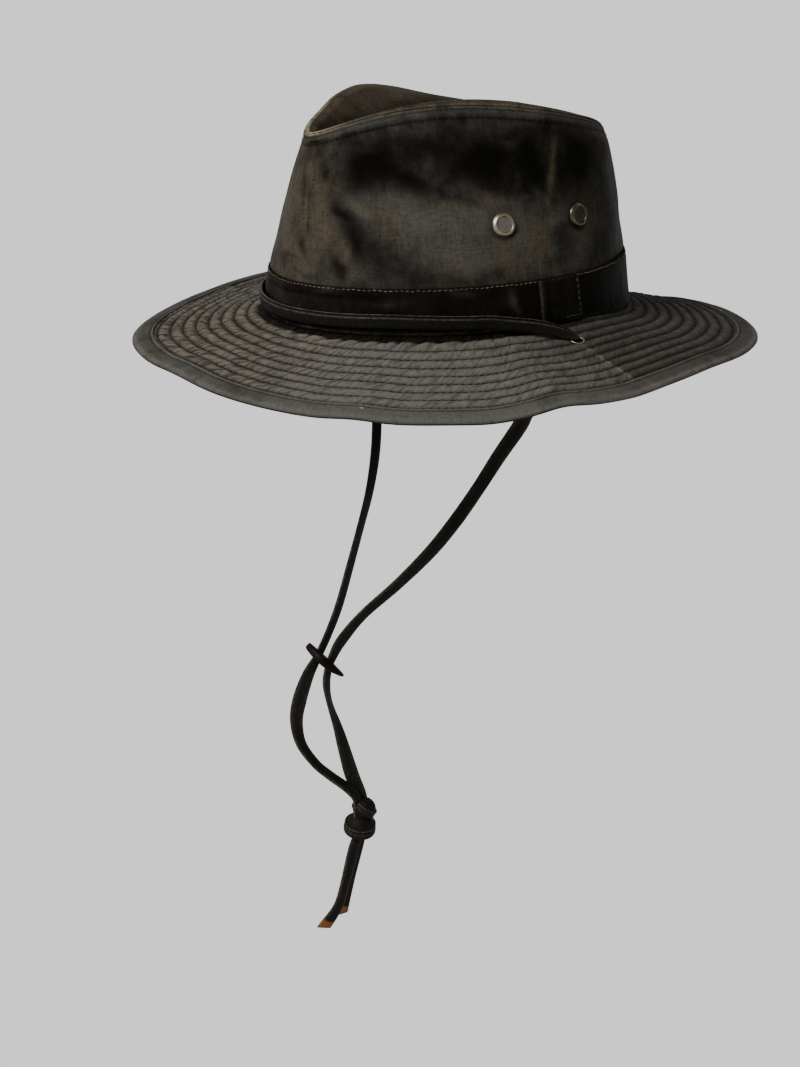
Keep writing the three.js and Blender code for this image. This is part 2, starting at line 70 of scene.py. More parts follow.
# Brim: flat ring of cloth, height of its edge round the hat, and ripples of the near edge
BRIM = {"half_length": 169.5, "half_width": 149.9, "width": 67.3, "cloth": 2.2, "droop": 0.8}
EDGE_HEIGHT = ((-19.5, 0.0), (2.9, -4.6), (-2.7, -3.2), (2.1, 0.8), (1.8, -0.8), (-0.6, -0.2))
EDGE_RIPPLES = (
    (-2.0, 8.0, 1.6), (37.0, 5.0, 1.3), (44.0, 18.0, 0.5), (60.0, 5.0, -0.8), (73.0, 5.0, 2.5),
    (87.0, 5.0, -0.9), (107.0, 8.0, 0.7), (190.0, 10.0, -3.4), (106.0, 12.0, 0.6),
)
# The seam of crown and brim sinks towards the back: start and span in degrees, and depth
SEAM_DROP = (95.0, 50.0, 6.9)
# Where the top edge lies lower: middle and spread in degrees, and depth
RIM_DIPS = (
    (-66.0, 42.0, 1.5), (-34.0, 13.0, 1.4), (-44.0, 8.0, 0.9), (-72.0, 9.0, -0.7),
    (-118.0, 14.0, 1.2), (84.0, 16.0, 0.5), (132.0, 9.0, -0.5),
)
SEAM_ROW_BELOW_RIM = 5.2
QUILTING = {"first_row": 3.1, "pitch": 6.45, "rows": 9}
BINDING = {"start": 56.6, "groove": 58.35}
# Section of the binding: distance from the seam and height above the brim
BINDING_OUTLINE = (
    (56.75, -0.02), (56.62, 0.35), (56.75, 0.85), (57.15, 1.15), (57.65, 1.12), (58.05, 0.8),
    (58.35, 0.58), (58.7, 0.72), (59.6, 0.98), (61.2, 1.05), (63.0, 0.98), (64.6, 0.85),
    (65.8, 0.6), (66.7, 0.2), (67.3, -0.35), (67.3, -0.9), (66.8, -1.5), (65.8, -2.0),
    (63.5, -2.6), (60.5, -2.8), (58.0, -2.8), (56.8, -2.65), (56.6, -2.2), (56.75, -1.9),
)

# Columns of squares in the sheets round the hat
COLUMNS = {"crown": 384, "tip": 360, "band": 480, "brim": 720}

BAND = {"bottom": 0.6, "top": 22.5, "cloth": 1.0}
TAB = {"angle": 92.0, "half_angle": 7.8, "bottom": 1.2, "top": 21.6, "cloth": 0.8}
CROWN_SEAM = ((102.0, 1.0), (99.0, 0.81), (93.0, 0.57), (91.0, 0.25), (91.0, 0.0))

VENT = {"forward": 22.5, "height": 50.0}
SCREEN = {"reach": 4.0, "pitch": 0.62, "wire": 0.34, "wave": 0.14, "height": 1.55}
# Disc behind the wires that stands in for the shade inside the vent, in metres
SCREEN_BACK = {"radius": 0.0039, "depth": 0.0003, "height": 0.0010}
HOLE = {"from_seam": 14.9, "lead_out": 5.0}

# Half sections of the brass fittings: distance from the axis and height
VENT_PROFILE = (
    (4.0, -2.3), (4.9, -2.3), (4.9, 0.2), (6.0, 0.25), (6.2, 0.5), (6.05, 0.85), (5.6, 1.4),
    (5.1, 1.9), (4.7, 2.15), (4.4, 2.15), (4.15, 1.95), (4.05, 1.5), (3.95, 0.0),
)
EYELET_PROFILE = (
    (2.9, -2.6), (3.4, -2.6), (3.4, 0.45), (3.8, 0.5), (3.9, 0.7), (3.7, 0.95), (3.4, 1.05),
    (3.1, 0.95), (2.95, 0.7),
)

# Lace round the crown front: angle from the front and height above the seam
LACE_FRONT = ((0.0, 6.6), (20.0, 6.7), (38.0, 7.2), (52.0, 6.3), (68.0, 4.9))
LACE_OUT = 2.85
LACE_WIDTH = 7.0
# Its way down to the hole: angle, distance from the seam, height above the brim, tilt, width
LACE_EXIT = (
    (74.0, 4.2, 6.2, 0.0, 7.0),
    (80.0, 6.6, 5.6, -8.0, 6.8),
    (85.0, 10.4, 4.6, -20.0, 6.2),
    (88.4, 13.4, 3.0, -42.0, 5.6),
)
LACE_IN_HOLE = (1.9, -0.2, -2.7)

# Routes of the free lace in metres: x, y, z, turn of its flat side in degrees, width in mm
LEFT_ROUTE = (
    (0.0919, -0.0001, -0.0200, 30, 5.4), (0.0850, -0.0002, -0.0270, 20, 6.2),
    (0.0762, -0.0006, -0.0345, 14, 7.0), (0.0677, -0.0011, -0.0425, 10, 7.8),
    (0.0618, -0.0013, -0.0500, 10, 8.3), (0.0575, -0.0021, -0.0580, 10, 8.1),
    (0.0493, -0.0084, -0.0740, 12, 7.7), (0.0419, -0.0156, -0.0910, 14, 7.3),
    (0.0352, -0.0251, -0.1080, 14, 7.4), (0.0286, -0.0365, -0.1240, 24, 7.2),
    (0.0193, -0.0510, -0.1410, 32, 6.4), (0.0094, -0.0664, -0.1570, 34, 5.8),
    (0.0038, -0.0760, -0.1700, 22, 6.0), (0.0012, -0.0796, -0.1780, 34, 5.4),
    (-0.0006, -0.0815, -0.1848, 46, 5.2), (-0.0010, -0.0828, -0.1940, 58, 6.4),
    (-0.0003, -0.0813, -0.2053, 70, 6.6), (0.0012, -0.0774, -0.2193, 46, 6.4),
    (0.0025, -0.0740, -0.2331, 12, 6.9), (0.0040, -0.0705, -0.2472, 0, 7.7),
    (0.0060, -0.0664, -0.2595, 0, 6.6), (0.0061, -0.0658, -0.2690, 0, 5.0),
    (0.0059, -0.0661, -0.2785, 0, 5.0), (0.0050, -0.0677, -0.2860, 10, 6.2),
    (0.0030, -0.0715, -0.3025, 24, 6.6), (0.0014, -0.0746, -0.3170, 26, 7.0),
    (0.0002, -0.0766, -0.3268, 20, 7.2),
)
RIGHT_ROUTE = (
    (-0.0946, -0.0001, -0.0160, 30, 5.4), (-0.0903, -0.0001, -0.0217, 40, 6.2),
    (-0.0840, -0.0002, -0.0280, 45, 6.6), (-0.0760, -0.0003, -0.0353, 48, 6.6),
    (-0.0680, -0.0005, -0.0430, 48, 6.6), (-0.0622, -0.0010, -0.0503, 46, 6.6),
    (-0.0582, -0.0016, -0.0580, 43, 6.6), (-0.0500, -0.0083, -0.0740, 42, 6.6),
    (-0.0429, -0.0155, -0.0910, 45, 6.6), (-0.0361, -0.0250, -0.1080, 54, 6.6),
    (-0.0293, -0.0367, -0.1240, 60, 6.6), (-0.0208, -0.0508, -0.1410, 58, 6.6),
    (-0.0113, -0.0658, -0.1570, 52, 6.0), (-0.0066, -0.0770, -0.1695, 46, 5.2),
    (-0.0039, -0.0858, -0.1786, 40, 5.2), (-0.0051, -0.0916, -0.1880, 18, 6.6),
    (-0.0060, -0.0968, -0.2010, 5, 7.6), (-0.0062, -0.0989, -0.2125, 12, 6.9),
    (-0.0047, -0.0971, -0.2250, 38, 6.4), (-0.0013, -0.0904, -0.2368, 50, 6.4),
    (0.0020, -0.0834, -0.2444, 52, 6.6), (0.0063, -0.0750, -0.2526, 44, 6.2),
    (0.0084, -0.0707, -0.2595, 34, 5.4), (0.0086, -0.0707, -0.2690, 30, 4.8),
    (0.0088, -0.0707, -0.2785, 20, 5.0), (0.0078, -0.0728, -0.2860, 14, 6.0),
    (0.0059, -0.0772, -0.3045, 44, 6.6), (0.0045, -0.0817, -0.3190, 44, 6.8),
    (0.0008, -0.0889, -0.3308, 26, 7.2),
)
# Slider in metres: its holes, its place and the directions of its long and short side
SLIDER = {
    "hole_radius": 0.0031,
    "drill_length": 0.016,
    "centre": (-0.0019, -0.0833, -0.1817),
    "long": (0.625, 0.459, -0.63),
    "across": (0.741, -0.603, 0.296),
}
# Lobes of the knot: centre and half sizes in metres, and the share of them that the core fills
KNOT_LOBES = (
    ((0.0084, -0.0661, -0.2656), (0.0070, 0.0068, 0.0070), 0.90),
    ((0.0072, -0.0683, -0.2752), (0.0104, 0.0100, 0.0097), 0.76),
)

# Turns of lace on the lobes: centre in metres, axis and a direction across it, then the radii,
# width, tilt and rise of the turn
KNOT_TURNS = (
    ((0.0072, -0.0683, -0.2754), (0.16, 0.02, 1.0), (0.63, 0.77, 0), (7.1, 6.8), 6.0, 0.0, 1.4),
    ((0.0084, -0.0661, -0.2655), (0.30, 0.55, 0.78), (1, 0, 0), (5.3, 5.1), 5.4, 0.0, 0.7),
)
KNOT_LACE_THICKNESS = 3.0

# Length of a stitch and the gap to the next one
STITCHES = {
    "crown_top": (2.2, 0.8),
    "groove": (0.9, 1.7),
    "band": (2.3, 0.35),
    "tab_back": (1.8, 0.9),
    "tab_foot": (1.5, 0.7),
}
STITCH_GAP = {"brim": 0.9, "binding": 0.8}
# How much thicker the band's thread is than the others
BAND_THREAD = 1.25

# Names of the tones of each cloth: oiled, dry, rubbed and worn on folds
TONE_SOCKETS = ("Dark", "Mid", "Worn", "Fold")
CROWN_TONES = ("crown_dark", "crown_mid", "crown_worn", "fold_worn")
TIP_TONES = ("crown_dark", "tip_mid", "crown_worn", "fold_worn")
BRIM_TONES = ("brim_dark", "brim_mid", "brim_worn", "fold_worn")
BINDING_TONES = ("brim_dark", "binding", "brim_worn", "fold_worn")
DEEP_SHADE = (0.0016, 0.0012, 0.0010, 1)

# Camera: where it stands in metres, the directions of its picture, and its focal length
CAMERA = {
    "place": (1.0492, -0.8870, 0.2971),
    "right": (0.6326, 0.7744, -0.0067),
    "up": (-0.2250, 0.1921, 0.9552),
    "back": (0.7411, -0.6028, 0.2957),
    "lens": 91.25,
}
BACK = np.array(CAMERA["back"])
# Floor in metres
FLOOR = {"level": -1.5, "half_side": 24}
SKY_STRENGTH = 0.30
# Lamps: where the light comes from, strength and softness in degrees
LAMPS = {
    "key": ((0.20, -1.60, 1.50), 4.2, 24),
    "side": ((-1.4, -0.9, 0.9), 0.5, 45),
    "rear": ((-0.6, 1.5, 1.3), 0.4, 45),
}

# Tones, threads around and across, blotch size, dryness, depth of the weave, puckers
FABRICS = {
    "crown_cotton": (CROWN_TONES, (1100.0, 200.0), 26.0, 0.42, 0.22, None),
    "tip_cotton": (TIP_TONES, (900.0, 130.0), 34.0, 0.34, 0.22, None),
    "band_cotton": (CROWN_TONES, (1100.0, 46.0), 40.0, 0.34, 0.22, None),
    "tab_cotton": (CROWN_TONES, (46.0, 42.0), 60.0, 0.42, 0.22, None),
    "brim_cotton": (BRIM_TONES, (1700.0, 220.0), 22.0, 0.62, 0.18, (340.0, 12.0, 30.0)),
    "binding_cotton": (BINDING_TONES, (1700.0, 50.0), 45.0, 0.66, 0.20, None),
}

# Patches of the crown and band. Each row holds an angle and a height, the spread in degrees
# and in mm, the slant in mm a degree and the amount
CROWN_TAN = (
    (-6, 52, 20, 44, 0, 0.72), (14, 58, 11, 34, -0.6, 0.66), (9, 76, 3.5, 14, 0, 0.85),
    (13, 66, 3.0, 14, -1.0, 0.90), (17, 47, 3.0, 14, -1.2, 1.00), (24, 36, 3.5, 10, -1.5, 0.95),
    (20, 74, 2.0, 10, 0, 0.55), (29, 62, 3.5, 4.5, -1.1, 0.60), (40, 52, 7.0, 5.0, -1.1, 0.65),
    (4, 32, 6.0, 8, 0, 0.80), (11, 29, 2.0, 6, 0, 0.90), (58, 62, 8.0, 4.0, -0.8, 0.65),
    (73, 64, 6.0, 3.2, -0.65, 0.75), (76, 35, 3.2, 13, -0.4, 0.90), (76, 36, 7.0, 10, 0, 0.40),
    (88, 43, 4.0, 13, -0.3, 0.75), (55, 80, 2.0, 12, -3.0, 0.25), (62, 30, 10.0, 7, 0, 0.30),
    (108, 50, 6.0, 14, 0, 0.65), (124, 88, 7.0, 8, 0, 0.45), (133, 62, 6.0, 24, 0, 0.55),
    (152, 58, 5.0, 22, 0.6, 0.50), (171, 40, 7.0, 12, 0, 0.45), (-32, 52, 4.0, 18, 1.0, 0.60),
    (-58, 36, 7.0, 9, 0, 0.50), (-84, 60, 3.0, 16, 1.2, 0.50), (-120, 42, 8.0, 9, 0.4, 0.50),
    (-156, 66, 4.0, 18, -0.8, 0.50),
)
# Grey wax bloom of the crown, partly painted sheen where the light glances off the cloth
CROWN_BLOOM_AND_SHEEN = (
    (48, 56, 16, 10, -0.35, 0.90), (66, 54, 13, 11, 0, 0.85), (52, 41, 13, 9, 0, 0.50),
    (31, 60, 5, 5, -1.6, 1.00), (28, 70, 3, 8, -1.0, 0.40), (80, 48, 12, 10, 0, 0.70),
    (96, 51, 7, 6, 0, 0.75), (66, 36, 12, 9, 0, 0.60), (84, 36, 7, 8, 0, 0.60),
    (73, 64, 9, 5, -0.65, 0.60), (55, 80, 4, 14, -3.0, 0.10), (-10, 60, 18, 40, 0, 0.38),
    (6, 36, 8, 14, 0, 0.45), (14, 60, 5, 26, 0, 0.22), (104, 36, 9, 8, 0, 0.35),
    (116, 50, 8, 10, 0, 0.15), (124, 88, 8, 6, 0, 0.30), (160, 50, 16, 12, 0, 0.55),
    (-50, 54, 14, 12, 0.4, 0.65), (-98, 50, 12, 14, 0, 0.50), (-140, 50, 14, 12, 0, 0.60),
)
# Dark oiled patches, partly painted shade below the top edge and past about 75 degrees, where the
# crown turns from the light
CROWN_DARK = (
    (9, 88.5, 6, 4, 0, 1.10), (38, 80, 13, 11, 0, 1.15), (17, 79, 3.4, 7, 0, 0.80),
    (24, 57, 5.6, 10, -1.5, 1.00), (29, 46, 5.0, 9, -1.4, 0.95), (34, 40, 5.0, 7, -1.2, 0.60),
    (3.5, 41.6, 3.2, 6, 0, 0.85), (7, 56, 1.2, 10, -0.8, 0.70), (3, 70, 1.4, 12, 0, 0.60),
    (21, 31, 3.8, 7, 0, 0.90), (15, 33, 2.4, 6, 0, 0.60), (-8.5, 31, 7, 3, 0, 0.60),
    (-3, 33.5, 9, 1.1, 0.12, 0.70), (8, 27, 10, 1.6, 0.1, 0.60), (34, 78, 10, 12, 0, 1.05),
    (46, 74, 12, 9, -0.4, 1.00), (40, 88, 14, 6, 0, 0.75), (84, 91, 14, 5, 0, 0.85),
    (21.5, 60, 2.8, 7, -1.2, 0.90), (57, 86, 15, 10, 0, 0.95), (74, 80, 16, 14, 0, 1.08),
    (88, 80, 10, 16, 0, 1.08), (92, 68, 6, 8, 0, 0.70), (109, 77, 14, 20, 0, 1.15),
    (120, 80, 8, 12, 0, 0.60), (38, 35, 12, 9, 0, 0.40), (98, 38, 6, 9, 0, 0.60),
    (104, 52, 5, 6, 0, 0.55), (116, 34, 12, 12, 0, 0.55), (122, 56, 10, 20, 0, 0.45),
    (58, 26, 26, 4, 0, 0.45), (146, 78, 10, 12, 0, 0.80), (170, 82, 12, 8, 0, 0.70),
    (-36, 80, 14, 10, 0, 0.85), (-72, 82, 14, 12, 0, 0.85), (-112, 76, 12, 14, 0, 0.85),
    (-150, 82, 12, 10, 0, 0.75),
)
BAND_RUBBED = (
    (-8, 20, 8, 2.5, 0, 0.35), (14, 19, 6, 2.0, 0, 0.40), (38, 15, 8, 3.0, 0, 0.35),
    (77, 12, 1.6, 6.0, -0.8, 0.75), (60, 19, 7, 2.0, 0, 0.30), (118, 12, 4, 5.0, 0, 0.30),
    (-70, 14, 8, 3.0, 0, 0.40), (-130, 10, 6, 4.0, 0, 0.40), (165, 14, 8, 4.0, 0, 0.40),
)
# Pale flecks of the binding: angle and distance from the seam
BINDING_FLECKS = ((38.0, 59.6), (158.0, 57.65))


# Sizes and colours that a user would change


def colour_prop(name, note, value):
    return bpy.props.FloatVectorProperty(
        name=name, description=note, default=value, size=4, min=0, max=1, subtype="COLOR"
    )


def length_prop(name, note, value):
    return bpy.props.FloatProperty(
        name=name, description=note, default=value, min=0, soft_max=0.02, unit="LENGTH"
    )


class HatSizes(bpy.types.PropertyGroup):
    quilt_puff: length_prop("Quilt puff", "Rise of the brim between two stitch rows", 0.0011)
    pucker: length_prop("Pucker", "Depth of the short puckers between the stitch rows", 0.0005)
    crown_crumple: length_prop("Crown crumple", "Depth of the soft dents of the crown", 0.0007)
    edge_roll: length_prop("Edge roll", "Rise of the folds beside the groove of the crown", 0.0012)
    shoulder: length_prop("Shoulder", "How far the back corners of the crown are rounded", 0.0052)
    lip_rise: length_prop("Lip rise", "Rise of the tip panel beside the side seams", 0.0024)
    lace_thickness: length_prop("Lace thickness", "Thickness of the flat chin lace", 0.0018)
    stitch_length: length_prop("Stitch length", "Length of a stitch of the brim", 0.0026)
    thread: length_prop("Thread", "Thickness of the sewing thread", 0.00042)
    slider_length: length_prop("Slider length", "Long side of the leather slider", 0.025)
    slider_width: length_prop("Slider width", "Short side of the leather slider", 0.0155)
    slider_thickness: length_prop("Slider thickness", "Thickness of the leather slider", 0.0046)


class HatColours(bpy.types.PropertyGroup):
    crown_dark: colour_prop("Crown dark", "Oiled cloth of the crown", (0.0021, 0.0019, 0.0012, 1))
    crown_mid: colour_prop("Crown", "Dry cloth of the crown", (0.060, 0.056, 0.047, 1))
    tip_mid: colour_prop("Tip", "Dry cloth of the top panel", (0.064, 0.053, 0.038, 1))
    crown_worn: colour_prop("Crown worn", "Rubbed cloth of the crown", (0.066, 0.050, 0.031, 1))
    fold_worn: colour_prop("Fold worn", "Cloth rubbed pale on its folds", (0.38, 0.32, 0.20, 1))
    brim_dark: colour_prop("Brim dark", "Oiled cloth of the brim", (0.014, 0.011, 0.008, 1))
    brim_mid: colour_prop("Brim", "Dry cloth of the brim", (0.106, 0.101, 0.089, 1))
    brim_worn: colour_prop("Brim worn", "Rubbed cloth of the brim", (0.142, 0.116, 0.082, 1))
    binding: colour_prop("Binding", "Cloth of the bound edge", (0.076, 0.076, 0.067, 1))
    lace: colour_prop("Lace", "Waxed lace", (0.0062, 0.0054, 0.0040, 1))
    lace_worn: colour_prop("Lace worn", "Rubbed edges of the lace", (0.080, 0.071, 0.056, 1))
    lace_cut: colour_prop("Lace cut", "Raw cut ends of the lace", (0.13, 0.052, 0.018, 1))
    slider: colour_prop("Slider", "Leather of the slider", (0.0040, 0.0022, 0.0014, 1))
    slider_worn: colour_prop("Slider worn", "Rubbed slider leather", (0.018, 0.0075, 0.0042, 1))
    brass: colour_prop("Brass", "Aged brass of vents and eyelets", (0.31, 0.28, 0.19, 1))
    screen: colour_prop("Screen", "Wire of the vent screens", (0.25, 0.23, 0.20, 1))
    thread_tan: colour_prop("Tan thread", "Worn thread of the band", (0.20, 0.155, 0.105, 1))
    thread_dark: colour_prop("Dark thread", "Thread of brim and crown", (0.018, 0.015, 0.012, 1))
    floor: colour_prop("Floor", "Pale floor", (0.82, 0.82, 0.82, 1))


def sizes():
    return bpy.context.scene.hat_sizes


def colours():
    return bpy.context.scene.hat_colours


# Surfaces of the hat. Angles are in radians from the front, towards the wearer's left


def stack(x, y, z):
    return np.stack(np.broadcast_arrays(x, y, z), -1).astype(float)


def unit(v):
    return v / np.maximum(np.linalg.norm(v, axis=-1, keepdims=True), 1e-12)


def hump(value, middle, spread, power=2):
    """One where the value is at the middle, falling off smoothly on both sides."""
    return np.exp(-(((value - middle) / spread) ** power))


def fraction(value):
    return np.clip(value, 0, 1)


def ramp(value, start, span):
    """From nought to one as the value goes from the start over the span."""
    return fraction((value - start) / span)


def series(rows, angle):
    return sum(c * np.cos(k * angle) + s * np.sin(k * angle) for k, (c, s) in enumerate(rows))


def signed_power(value, power):
    return np.sign(value) * np.abs(value) ** power


def degrees_of(angle):
    return np.degrees(np.arctan2(np.sin(angle), np.cos(angle)))


def rim_point(angle):
    cosine = np.cos(angle)
    across = signed_power(np.sin(angle), 2 / RIM_SHAPE["squareness"])
    along = signed_power(cosine, 2 / RIM_SHAPE["squareness"])
    reach = np.where(cosine > 0, RIM["front_reach"], RIM["back_reach"])
    x = RIM["half_width"] * across * (1 - RIM_SHAPE["taper"] * cosine)
    height = series(RIM_HEIGHT, angle)
    for middle, spread, depth in RIM_DIPS:
        height = height - depth * hump(degrees_of(angle), middle, spread)
    return stack(x, -reach * along, height)


def bell(angle, middle, spread):
    """One at an angle in degrees on both sides of the hat, falling off smoothly around it."""
    return hump(np.abs(degrees_of(angle)), middle, spread)


def drawn_in(angle):
    """The head oval is drawn in a little beside the forehead and the nape."""
    return 1 - 0.011 * bell(angle, 30, 28) - 0.010 * bell(angle, 138, 30)


def seam_drop(angle):
    start, span, depth = SEAM_DROP
    turn = ramp(np.abs(degrees_of(angle)), start, span)
    return depth * (0.5 - 0.5 * np.cos(np.pi * turn))


def head_point(angle):
    oval = stack(HEAD["half_width"] * np.sin(angle), -HEAD["half_length"] * np.cos(angle), 0)
    return oval * np.asarray(drawn_in(angle))[..., None]


def shoulder_out(angle, share):
    """The wall swells a little below its corners and rolls in at the top of the back ones."""
    share = fraction(share)
    top = ramp(share, 0.83, 0.17)
    swell = np.sin(np.pi * share**2.2)
    back = 1.5 * swell - sizes().shoulder / MM * top**2
    return bell(angle, 124, 26) * back + 0.8 * swell * bell(angle, 10, 24)


def wall_point(angle, share):
    base, rim = head_point(angle), rim_point(angle)
    lean = LEAN["front"] + (LEAN["back"] - LEAN["front"]) * (1 - np.cos(angle)) / 2
    move = np.maximum(share, 0) ** lean
    point = base + (rim - base) * move[..., None]
    point[..., :2] += unit(rim[..., :2]) * np.asarray(shoulder_out(angle, share))[..., None]
    point[..., 2] = rim[..., 2] * share
    return point


def wall_normal(angle, share):
    small = 0.004
    low = np.maximum(share - small, 0)
    along = wall_point(angle + small, share) - wall_point(angle - small, share)
    up = wall_point(angle, low + 2 * small) - wall_point(angle, low)
    return unit(np.cross(along, up))


def on_wall(angle, share, out):
    angle, share, out = np.broadcast_arrays(angle, share, out)
    return wall_point(angle, share) + wall_normal(angle, share) * out[..., None]


def share_at(angle, height):
    return height / rim_point(angle)[..., 2]


def wall_at_height(angle, height, out):
    angle = np.asarray(angle, float)
    return on_wall(angle, share_at(angle, height), out)


def spot_on_wall(angle, share, out):
    """Points above the wall and its normals there."""
    return on_wall(angle, share, out), wall_normal(angle, share)


def valley_point(angle):
    turn = np.abs(np.arctan2(np.sin(angle), np.cos(angle)))
    place = (np.cos(turn) + 1 - 2 * turn / np.pi) / 2
    y = DENT["centre"] - DENT["half_length"] * place
    return stack(0, y, DENT["depth_height"] + DENT["front_rise"] * np.cos(turn))


def towards_valley(angle):
    way = valley_point(angle) - rim_point(angle)
    way[..., 2] = 0
    return unit(way)


def tip_point(angle, inward, rise):
    rolled = sizes().shoulder / MM * bell(angle, 124, 26)
    point = rim_point(angle) + towards_valley(angle) * (inward + rolled)[..., None]
    point[..., 2] += rise
    return point


def edge_height(angle):
    degrees = degrees_of(angle)
    height = series(EDGE_HEIGHT, angle)
    for middle, spread, rise in EDGE_RIPPLES:
        away = (degrees - middle + 180) % 360 - 180
        height = height + rise * hump(away, 0, spread)
    return height


def brim_point(angle, from_seam, rise):
    share = np.asarray(from_seam, float) / BRIM["width"]
    half_width = HEAD["half_width"] + GAP
    half_width = half_width + (BRIM["half_width"] - half_width) * share
    half_length = HEAD["half_length"] + GAP
    half_length = half_length + (BRIM["half_length"] - half_length) * share
    height = edge_height(angle) * np.maximum(share, 0) ** BRIM["droop"] + rise
    near = fraction(1 - share)
    height = height - seam_drop(angle) * near**1.25
    oval = 1 + (drawn_in(angle) - 1) * near
    return stack(half_width * oval * np.sin(angle), -half_length * oval * np.cos(angle), height)


def brim_normal(angle, from_seam):
    small = 0.004
    along = brim_point(angle + small, from_seam, 0) - brim_point(angle - small, from_seam, 0)
    outward = brim_point(angle, from_seam + 1, 0) - brim_point(angle, from_seam - 1, 0)
    return unit(np.cross(along, outward)) * -1


def rubbed_and_lit_edge(degrees):
    """How pale the top fold of the crown is: rubbed pale, with painted light most at its front
    corner and far side.
    """
    spread = np.where(degrees > 4, 15, 48)
    return 0.13 + 0.87 * hump(degrees, 4, spread)


# Soft noise that repeats round the hat, from a seeded table of heights

NOISE_CELLS = 64


def soft_noise(across, up, seed, around=NOISE_CELLS):
    table = np.random.default_rng(seed).uniform(-1, 1, (around, NOISE_CELLS))
    left, low = np.floor(across).astype(int), np.floor(up).astype(int)
    a, b = across - left, up - low
    a, b = a * a * (3 - 2 * a), b * b * (3 - 2 * b)
    l, r = left % around, (left + 1) % around
    d, t = low % NOISE_CELLS, (low + 1) % NOISE_CELLS
    bottom = table[l, d] * (1 - a) + table[r, d] * a
    top = table[l, t] * (1 - a) + table[r, t] * a
    return bottom * (1 - b) + top * b


def patches(rows, degrees, height):
    """Soft patches with ragged edges. Where two overlap the stronger one shows."""
    around = degrees / 360 + 0.5
    degrees = degrees + 1.8 * soft_noise(around * 60, height / 6, 14, 60)
    height = height + 3.5 * soft_noise(around * 40, height / 9 + 5, 15, 40)
    amount = np.zeros_like(degrees)
    for angle, level, wide, tall, slant, strength in rows:
        turn = (degrees - angle + 180) % 360 - 180
        reach = (turn / wide) ** 2 + ((height - level - slant * turn) / tall) ** 2
        amount = np.maximum(amount, strength * np.exp(-reach))
    return amount


# Meshes


def finish_mesh(name, bm, smooth=True):
    mesh = bpy.data.meshes.new(name)
    bm.to_mesh(mesh)
    bm.free()
    mesh.polygons.foreach_set("use_smooth", [smooth] * len(mesh.polygons))
    piece = bpy.data.objects.new(name, mesh)
    bpy.context.scene.collection.objects.link(piece)
    return piece


def write_marks(bm, marks):
    for mark, values in marks.items():
        layer = bm.verts.layers.float.new(mark)
        for vert, value in zip(bm.verts, values):
            vert[layer] = float(value)


def spot_on_grid(around, up, rows, closed=False):
    """Angle, the same in degrees, and row number of the points of a sheet round the hat."""
    angle = (2 * around - 1) * np.pi
    j = np.rint(up * rows).astype(int)
    return angle, np.degrees(angle), j % rows if closed else j


def moved_grid(columns, rows, place):
    """A sheet of squares whose points place() lays on the hat, with marks for its material."""
    bm = bmesh.new()
    bm.loops.layers.uv.new("UVMap")
    bmesh.ops.create_grid(bm, x_segments=columns, y_segments=rows, size=0.5, calc_uvs=True)
    flat = np.array([v.co[:2] for v in bm.verts]) + 0.5
    points, marks = place(flat[:, 0], flat[:, 1])
    for vert, point in zip(bm.verts, points * MM):
        vert.co = point
    write_marks(bm, marks)
    bmesh.ops.remove_doubles(bm, verts=bm.verts, dist=1e-6)
    return bm


def face_outwards(bm, outward):
    """Turns the sheet over where most of its faces look against outward(centre)."""
    looks = sum(f.normal.dot(outward(f.calc_center_median())) * f.calc_area() for f in bm.faces)
    if looks < 0:
        bmesh.ops.reverse_faces(bm, faces=bm.faces)


def cloth_sheet(name, columns, rows, place, outward, thickness):
    bm = moved_grid(columns, rows, place)
    bm.normal_update()
    face_outwards(bm, outward)
    piece = finish_mesh(name, bm)
    wall = piece.modifiers.new("cloth", "SOLIDIFY")
    wall.thickness = thickness
    wall.offset = -1
    wall.use_even_offset = True
    return piece


def closed_ring(name, columns, rows, place):
    bm = moved_grid(columns, rows, place)
    bmesh.ops.recalc_face_normals(bm, faces=bm.faces)
    return finish_mesh(name, bm)


def from_middle(centre):
    return Vector((centre.x, centre.y, 0))


def upwards(_centre):
    return Vector((0, 0, 1))


def spun(profile, steps):
    """A fitting turned about its own Z axis from a few profile points in mm."""
    bm = bmesh.new()
    verts = [bm.verts.new((r * MM, 0, z * MM)) for r, z in profile]
    edges = [bm.edges.new(pair) for pair in zip(verts, verts[1:] + verts[:1])]
    bmesh.ops.spin(
        bm,
        geom=verts + edges,
        axis=(0, 0, 1),
        cent=(0, 0, 0),
        angle=2 * math.pi,
        steps=steps,
        use_merge=True,
    )
    bmesh.ops.remove_doubles(bm, verts=bm.verts, dist=1e-7)
    bmesh.ops.recalc_face_normals(bm, faces=bm.faces)
    return bm


def placed(bm, point, way):
    """Moves a shape from the origin to a point in metres, with its Z axis along the way."""
    turn = Vector((0, 0, 1)).rotation_difference(Vector(way)).to_matrix().to_4x4()
    bmesh.ops.transform(bm, matrix=Matrix.Translation(point) @ turn, verts=bm.verts)
    return bm


def axes_at(place, *axes):
    return Matrix.Translation(place) @ Matrix(axes).transposed().to_4x4()


def smooth_route(points, steps):
    """A smooth line through the rows of a table, with the other columns carried along."""
    rows = np.array(points, float)
    padded = np.vstack([2 * rows[0] - rows[1], rows, 2 * rows[-1] - rows[-2]])
    made = []
    for a, b, c, d in zip(padded, padded[1:], padded[2:], padded[3:]):
        for step in range(steps):
            t = step / steps
            made.append(
                0.5 * (2 * b + (c - a) * t + (2 * a - 5 * b + 4 * c - d) * t**2)
                + 0.5 * (3 * b - a - 3 * c + d) * t**3
            )
    made.append(rows[-1])
    return np.array(made)


def directions(points):
    return unit(np.gradient(points, axis=0))


def run_along(line):
    """How far each point of a line lies along it."""
    return np.concatenate([[0], np.cumsum(np.linalg.norm(np.diff(line, axis=0), axis=1))])


